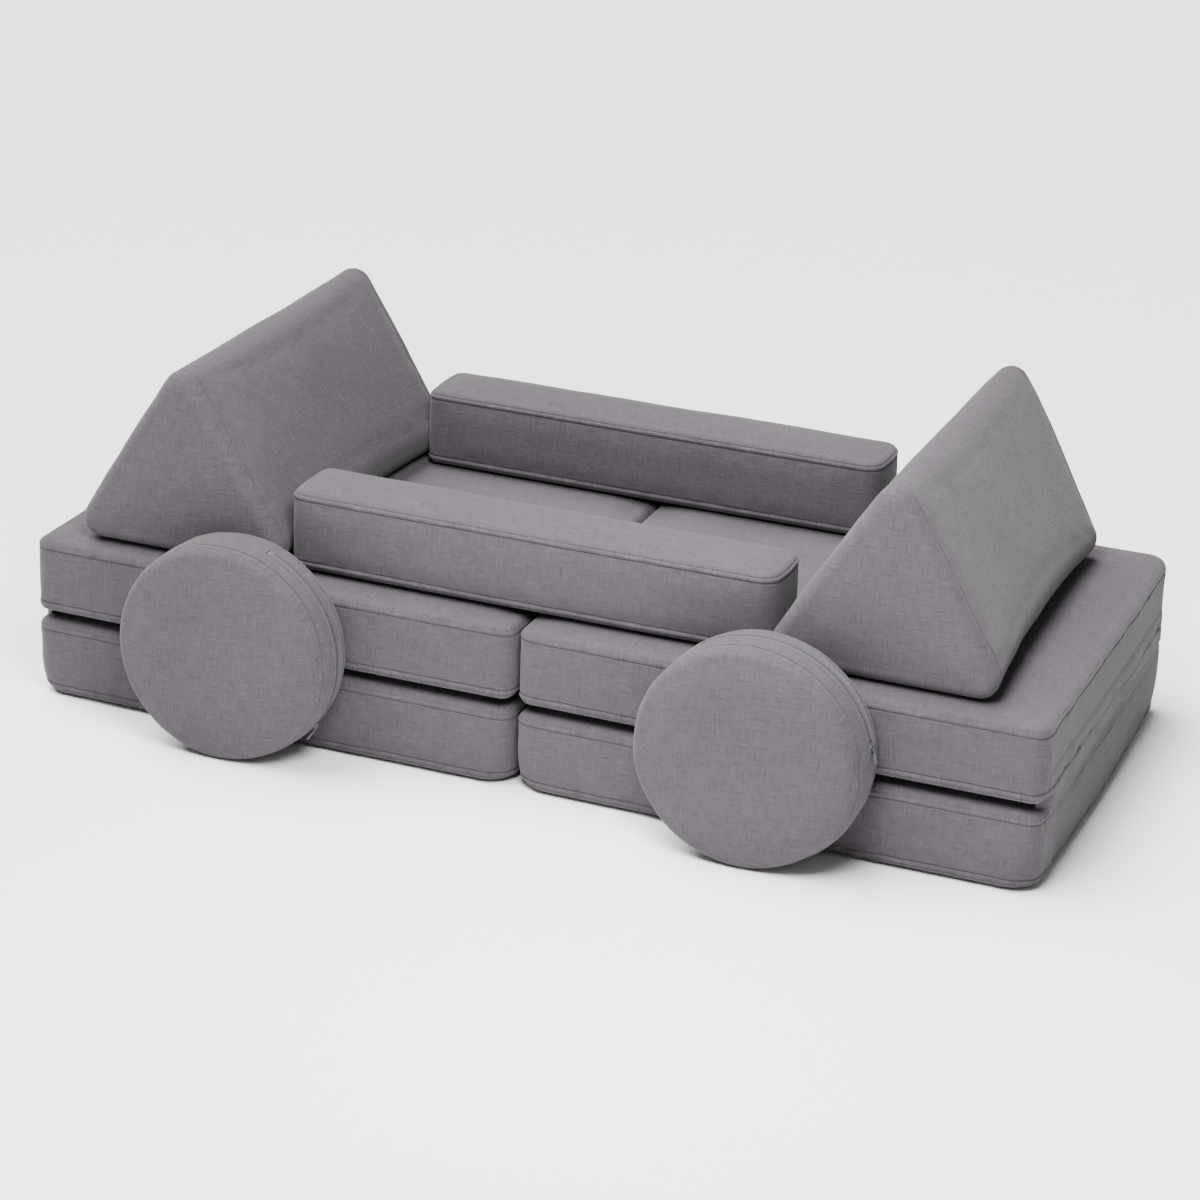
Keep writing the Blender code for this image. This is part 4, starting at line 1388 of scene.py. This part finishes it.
def slider_pattern():
    """The zip slider: a plate that narrows to both ends, two flanges and a bridge."""
    plate = start_piece("plate", bpy.ops.mesh.primitive_cube_add, size=1.0,
                        location=(0.0, 0.0, SLIDER_PLATE_LEVEL),
                        scale=(SLIDER_LENGTH, SLIDER_WIDTH, SLIDER_PLATE_HEIGHT))
    bpy.ops.object.mode_set(mode='EDIT')
    for end, share in SLIDER_NOSES:
        select_where(plate, 'faces', lambda face, end=end: face.normal.x * end > FACING)
        bpy.ops.transform.resize(value=(1.0, share, 1.0), center_override=(0.0, 0.0, 0.0))
    bpy.ops.mesh.select_all(action='SELECT')
    bpy.ops.mesh.bevel(offset=SLIDER_BEVEL, segments=2, affect='EDGES')
    bpy.ops.object.mode_set(mode='OBJECT')
    parts = [plate]
    for edge in (-1, 1):
        middle = (FLANGE_BACK, edge * (SLIDER_WIDTH / 2 - FLANGE_INSET), FLANGE_LEVEL)
        parts.append(rounded_bar("flange", FLANGE_SIZE, middle, SMALL_BEVEL, 2))
    parts.append(start_piece("bridge", bpy.ops.mesh.primitive_torus_add, major_radius=BRIDGE_RADIUS,
                             location=(0.0, 0.0, BRIDGE_LEVEL), rotation=(math.pi / 2, 0.0, 0.0),
                             **WIRE))
    return joined("slider_pattern", parts)


def pull_pattern():
    """The slider's pull: an eye, a neck and a plate with a slot."""
    eye = start_piece("eye", bpy.ops.mesh.primitive_torus_add, major_radius=EYE_RADIUS, location=EYE_PLACE,
                      **WIRE)
    neck = rounded_bar("neck", NECK_SIZE, NECK_PLACE, SMALL_BEVEL, 2)
    plate = start_piece("plate", bpy.ops.mesh.primitive_cube_add, size=1.0, location=PULL_PLACE,
                        scale=PULL_SIZE)
    bpy.ops.object.mode_set(mode='EDIT')
    select_where(plate, 'edges',
                 lambda edge: abs((edge.verts[0].co - edge.verts[1].co).z) > PULL_SIZE[2] / 2)
    bpy.ops.mesh.bevel(offset=PULL_CORNER, segments=PULL_CORNER_STEPS, affect='EDGES')
    select_where(plate, 'faces', lambda face: abs(face.normal.z) > FACING)
    bpy.ops.mesh.inset(thickness=PULL_FRAME, use_individual=True)
    select_where(plate, 'faces', lambda face: abs(face.normal.z) > FACING and len(face.verts) > 4)
    bpy.ops.mesh.bridge_edge_loops()
    bpy.ops.object.mode_set(mode='OBJECT')
    return joined("pull_pattern", [eye, neck, plate])


def make_slider(block, body_pattern, tab_pattern):
    """The slider of one zip, at the start of its run."""
    track = ZipTrack(block)
    s = -track.length / 2 + ZIP_END_STOP + SLIDER_LENGTH / 2
    _, (ahead, across, outward) = track.frame(s)
    place = turned((ahead, across, outward), track.on_cover(s, 0.0, SLIDER_RISE))
    tab_place = place @ Matrix.Rotation(-math.pi / 2, 4, 'Z') if track.disc else place
    parts = []
    for pattern, matrix in ((body_pattern, place), (tab_pattern, tab_place)):
        part = pattern.copy()
        part.data = pattern.data.copy()
        bpy.context.scene.collection.objects.link(part)
        part.data.transform(matrix)
        parts.append(part)
    slider = joined(block.name + "_slider_and_pull", parts)
    shade_by_angle(slider)
    finish_piece(slider, plain_material("painted zip metal"), block.name + "_slider",
                 block.name + "_zip_slider")


def make_stitching(block, pattern):
    """The topstitched rows along both seams of a cover and beside its zip."""
    sizes = bpy.context.scene.sofa_sizes
    cover = cover_of(block)
    points, normals = coordinates(cover.data), vertex_normals(cover.data)
    total = len(block.path)
    places, axes = [], []
    for high in (False, True):
        first = block.ring_at(high) * total
        ring = slice(first, first + total)
        place, directions = stations(points[ring], normals[ring], sizes.stitch_pitch)
        places.append(place + directions[:, 2] * sizes.stitch_width * STITCH_LIFT)
        axes.append(directions)
    track = ZipTrack(block)
    for edge in (-1, 1):
        side = edge * (ZIP_HALF_HEIGHT + LIP_WIDTH * LIP_ROW)
        place, directions = track.rows(sizes.stitch_pitch, 0.0, side, sizes.stitch_width * ZIP_STITCH_LIFT)
        places.append(place)
        axes.append(directions)
    stitches = pattern_copies(block.name + "_stitching", pattern, np.concatenate(places),
                              np.concatenate(axes))
    finish_piece(stitches, plain_material("sewing thread"), block.body)


def hinge_grid(side_name, side, outer, across, heights, level, inside):
    """Points of the hinge's sheet: flush with both slabs, and taut over the fold between them."""
    trees = {slab: surface_of(slab_block(side_name, slab)) for slab in ("upper", "lower")}
    grid = np.zeros((len(across), len(heights), 3))
    for i, y in enumerate(across):
        for k, z in enumerate(heights):
            tree = trees["upper" if z > level else "lower"]
            hit = tree.ray_cast(Vector((side * (outer + HINGE_PROBE), y, z)), Vector((-side, 0, 0)))[0]
            edge = min(z - heights[0], heights[-1] - z, y - across[0], across[-1] - y)
            hem = min(edge / HINGE_HEM - HINGE_HEM_START, 1.0)
            wall = (abs(hit.x) if hit else 0.0) + HINGE_CLEARANCE * hem
            rise = abs(z - level)
            taut = outer - HINGE_DIP * max(0.0, 1 - rise / HINGE_SPAN) - HINGE_SINK * (1 - inside[i]) ** 2
            grid[i, k] = (max(wall, taut) if rise < HINGE_SPAN * HINGE_TAUT_SHARE else wall, y, z)
    return grid


def make_hinge(side_name, side, pattern):
    """The fabric hinge at a mat's outer end: a sheet sewn to both slabs, hanging a little over the fold."""
    name = side_name + "_hinge_strip"
    low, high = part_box(name)
    level = JOINTS[side_name + "_mat_fold"]["pos_m"][2]
    outer = max(abs(low.x), abs(high.x)) - HINGE_REST
    rows = round((high.z - low.z) / HINGE_STEP)
    columns = round((high.y - low.y) / HINGE_WIDE_STEP)
    across = np.linspace(low.y - HINGE_MARGIN, high.y + HINGE_MARGIN, columns + 1)
    heights = np.linspace(low.z, high.z, rows + 1)
    inside = smooth_share(np.minimum(across - across[0], across[-1] - across), 0.0, HINGE_END_SPAN)
    flat = hinge_grid(side_name, side, outer, across, heights, level, inside).reshape(-1, 3)

    # the hang over the fold, with a wavy edge that fades out at both ends
    track = np.column_stack((across, np.zeros(columns + 1), np.full(columns + 1, 0.5 * side)))
    waver = np.repeat(summed_noise(track, HINGE_WAVES), rows + 1)
    inside = np.repeat(inside, rows + 1)
    fall = flat[:, 2] - level - HINGE_WAVER * waver * inside
    hang = np.where(fall > 0, (1 - np.exp(-fall / HINGE_TURN)) * np.exp(-fall / HINGE_REACH), 0.0)
    fade = smooth_share((high.z - flat[:, 2]), 0.0, HINGE_TOP_SPAN) * inside
    flat[:, 0] += HINGE_GATHER * hang * fade * (1.0 + HINGE_SWING * waver)
    flat[:, 0] *= side

    numbers = np.arange(len(flat)).reshape(columns + 1, rows + 1)
    corners = (numbers[:-1, :-1], numbers[1:, :-1], numbers[1:, 1:], numbers[:-1, 1:])
    faces = [tuple(map(int, face)) for face in np.stack([corner.ravel() for corner in corners], axis=1)]
    if side < 0:
        faces = [face[::-1] for face in faces]
    sheet = make_object(side_name + "_hinge_sheet", flat, faces)
    normals = vertex_normals(sheet.data)
    plain_weave(sheet, lambda co: (co.y, co.z))
    thick = sheet.modifiers.new("thickness", 'SOLIDIFY')
    thick.thickness = HINGE_THICKNESS
    thick.offset = -1.0
    sheet.data.materials.append(cover_material())
    seat, base = side_name + "_seat", side_name + "_base"
    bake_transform(sheet)
    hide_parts(name)
    pitch = bpy.context.scene.sofa_sizes.stitch_pitch
    for end_name, row, body in (("low", 1, base), ("high", rows - 1, seat)):
        line = numbers[:, row]
        place, axes = stations(flat[line], normals[line], pitch, closed=False)
        stitches = pattern_copies(f"{side_name}_hinge_stitching_{end_name}", pattern, place, axes)
        finish_piece(stitches, plain_material("sewing thread"), body)


def slab_pair(level):
    """The left and right mat's slab at one level."""
    return [slab_block(side, level) for side in ("left", "right")]


def bar_pair():
    """Both bars."""
    return [bar_block(name) for name in ("front_bar", "back_bar")]


def triangle_pair():
    """Both triangles."""
    return [triangle_block(name) for name in ("left_triangle", "right_triangle")]


def disc_pair():
    """Both discs."""
    return [disc_block(name) for name in ("left_disc", "right_disc")]


def all_blocks():
    """All ten blocks."""
    slabs = [slab_block(side, level) for side in ("left", "right") for level in ("upper", "lower")]
    return slabs + bar_pair() + triangle_pair() + disc_pair()


class SOFA_OT_mats(bpy.types.Operator):
    """Add the four slabs of the two folding mats."""
    bl_idname = "play_sofa.mats"
    bl_label = "Folding mats"

    def execute(self, context):
        for level in ("upper", "lower"):
            make_pair(slab_pair(level), COVER_SEEDS[level])
        return {'FINISHED'}


class SOFA_OT_bars(bpy.types.Operator):
    """Add the two long bars."""
    bl_idname = "play_sofa.bars"
    bl_label = "Bars"

    def execute(self, context):
        make_pair(bar_pair(), COVER_SEEDS["bar"])
        return {'FINISHED'}


class SOFA_OT_triangles(bpy.types.Operator):
    """Add the two triangles."""
    bl_idname = "play_sofa.triangles"
    bl_label = "Triangles"

    def execute(self, context):
        make_pair(triangle_pair(), COVER_SEEDS["triangle"])
        return {'FINISHED'}


class SOFA_OT_discs(bpy.types.Operator):
    """Add the two discs."""
    bl_idname = "play_sofa.discs"
    bl_label = "Discs"

    def execute(self, context):
        make_pair(disc_pair(), COVER_SEEDS["disc"])
        return {'FINISHED'}


class SOFA_OT_hinges(bpy.types.Operator):
    """Add the fabric hinge at each mat's outer end; the mats' covers must be there."""
    bl_idname = "play_sofa.hinges"
    bl_label = "Fabric hinges"

    def execute(self, context):
        sizes = context.scene.sofa_sizes
        pattern = stitch_pattern(sizes.stitch_pitch * STITCH_SHARE, sizes.stitch_width)
        for side_name, side in (("left", -1), ("right", 1)):
            make_hinge(side_name, side, pattern)
        bpy.data.objects.remove(pattern, do_unlink=True)
        return {'FINISHED'}


class SOFA_OT_stitching(bpy.types.Operator):
    """Add the topstitching of every cover; the covers must be there."""
    bl_idname = "play_sofa.stitching"
    bl_label = "Stitching"

    def execute(self, context):
        sizes = context.scene.sofa_sizes
        pattern = stitch_pattern(sizes.stitch_pitch * STITCH_SHARE, sizes.stitch_width)
        for block in all_blocks():
            make_stitching(block, pattern)
        bpy.data.objects.remove(pattern, do_unlink=True)
        return {'FINISHED'}


class SOFA_OT_zips(bpy.types.Operator):
    """Add the zip of every cover; the covers must be there."""
    bl_idname = "play_sofa.zips"
    bl_label = "Zips"

    def execute(self, context):
        pattern = tooth_pattern()
        for block in all_blocks():
            make_zip(block, pattern)
        bpy.data.objects.remove(pattern, do_unlink=True)
        return {'FINISHED'}


class SOFA_OT_sliders(bpy.types.Operator):
    """Add the slider of every zip; the covers must be there."""
    bl_idname = "play_sofa.sliders"
    bl_label = "Zip sliders"

    def execute(self, context):
        patterns = (slider_pattern(), pull_pattern())
        for block in all_blocks():
            make_slider(block, *patterns)
        for pattern in patterns:
            bpy.data.objects.remove(pattern, do_unlink=True)
        return {'FINISHED'}


class SOFA_OT_stage(bpy.types.Operator):
    """Add the floor, the lights and the camera."""
    bl_idname = "play_sofa.stage"
    bl_label = "Stage"

    def execute(self, context):
        settings = context.scene.sofa_stage
        bpy.ops.object.select_all(action='DESELECT')
        bpy.ops.mesh.primitive_plane_add(size=FLOOR_SIZE, location=(0.0, 0.0, -FLOOR_DROP))
        floor = context.object
        floor.name = "studio_floor"
        mat = bpy.data.materials.new("studio floor")
        mat.use_nodes = True
        shader = mat.node_tree.nodes["Principled BSDF"]
        shader.inputs["Base Color"].default_value = (*settings.floor, 1.0)
        shader.inputs["Roughness"].default_value = FLOOR_ROUGHNESS
        floor.data.materials.append(mat)
        world = context.scene.world or bpy.data.worlds.new("studio")
        context.scene.world = world
        world.use_nodes = True
        background = world.node_tree.nodes["Background"]
        background.inputs["Color"].default_value = (1.0, 1.0, 1.0, 1.0)
        background.inputs["Strength"].default_value = settings.ambient
        self.lamp("overhead_light", 'SUN', OVERHEAD_PLACE, settings.overhead, angle=OVERHEAD_SPREAD)
        self.lamp("front_light", 'AREA', FRONT_LIGHT_PLACE, settings.fill, size=FRONT_LIGHT_SIZE)
        level = math.cos(settings.elevation)
        back = Vector((math.sin(settings.azimuth) * level, -math.cos(settings.azimuth) * level,
                       math.sin(settings.elevation)))
        data = bpy.data.cameras.new("camera")
        data.lens = settings.lens
        data.sensor_width = SENSOR_WIDTH
        data.clip_end = FARTHEST
        camera = bpy.data.objects.new("camera", data)
        context.scene.collection.objects.link(camera)
        camera.rotation_mode = 'QUATERNION'
        side = Vector((0.0, 0.0, 1.0)).cross(back).normalized()
        up = back.cross(side)
        cos, sin = math.cos(settings.roll), math.sin(settings.roll)
        turn = turned((side * cos + up * sin, up * cos - side * sin, back), (0.0, 0.0, 0.0))
        camera.location = Vector(settings.target) + back * settings.distance
        camera.rotation_quaternion = turn.to_quaternion()
        context.scene.camera = camera
        return {'FINISHED'}

    def lamp(self, name, kind, place, power, **settings):
        """A soft light that points at the sofa."""
        data = bpy.data.lights.new(name, kind)
        data.energy = power
        for key, value in settings.items():
            setattr(data, key, value)
        lamp = bpy.data.objects.new(name, data)
        lamp.location = place
        lamp.rotation_mode = 'QUATERNION'
        lamp.rotation_quaternion = (Vector(LIT_POINT) - Vector(place)).to_track_quat('-Z', 'Y')
        bpy.context.scene.collection.objects.link(lamp)


class SOFA_PT_parts(bpy.types.Panel):
    """Lists the sofa's parts in the sidebar."""
    bl_label = "Play Sofa"
    bl_space_type = 'VIEW_3D'
    bl_region_type = 'UI'
    bl_category = "Play Sofa"

    def draw(self, context):
        for operator in PARTS:
            self.layout.operator(operator.bl_idname, text=operator.bl_label)
        for settings in (context.scene.sofa_sizes, context.scene.sofa_colours, context.scene.sofa_stage):
            box = self.layout.box()
            for name in settings.bl_rna.properties.keys():
                if name not in ("rna_type", "name"):
                    box.prop(settings, name)


PARTS = (SOFA_OT_mats, SOFA_OT_bars, SOFA_OT_triangles, SOFA_OT_discs, SOFA_OT_hinges, SOFA_OT_stitching,
         SOFA_OT_zips, SOFA_OT_sliders, SOFA_OT_stage)
CLASSES = (CoverSizes, CoverColours, StageSettings, *PARTS, SOFA_PT_parts)


def register():
    for cls in CLASSES:
        bpy.utils.register_class(cls)
    bpy.types.Scene.sofa_sizes = PointerProperty(type=CoverSizes)
    bpy.types.Scene.sofa_colours = PointerProperty(type=CoverColours)
    bpy.types.Scene.sofa_stage = PointerProperty(type=StageSettings)


def unregister():
    del bpy.types.Scene.sofa_stage
    del bpy.types.Scene.sofa_colours
    del bpy.types.Scene.sofa_sizes
    for cls in reversed(CLASSES):
        bpy.utils.unregister_class(cls)


def main():
    """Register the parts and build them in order."""
    register()
    bpy.ops.play_sofa.mats()
    bpy.ops.play_sofa.bars()
    bpy.ops.play_sofa.triangles()
    bpy.ops.play_sofa.discs()
    bpy.ops.play_sofa.hinges()
    bpy.ops.play_sofa.stitching()
    bpy.ops.play_sofa.zips()
    bpy.ops.play_sofa.sliders()
    bpy.ops.play_sofa.stage()


if __name__ == "__main__":
    main()
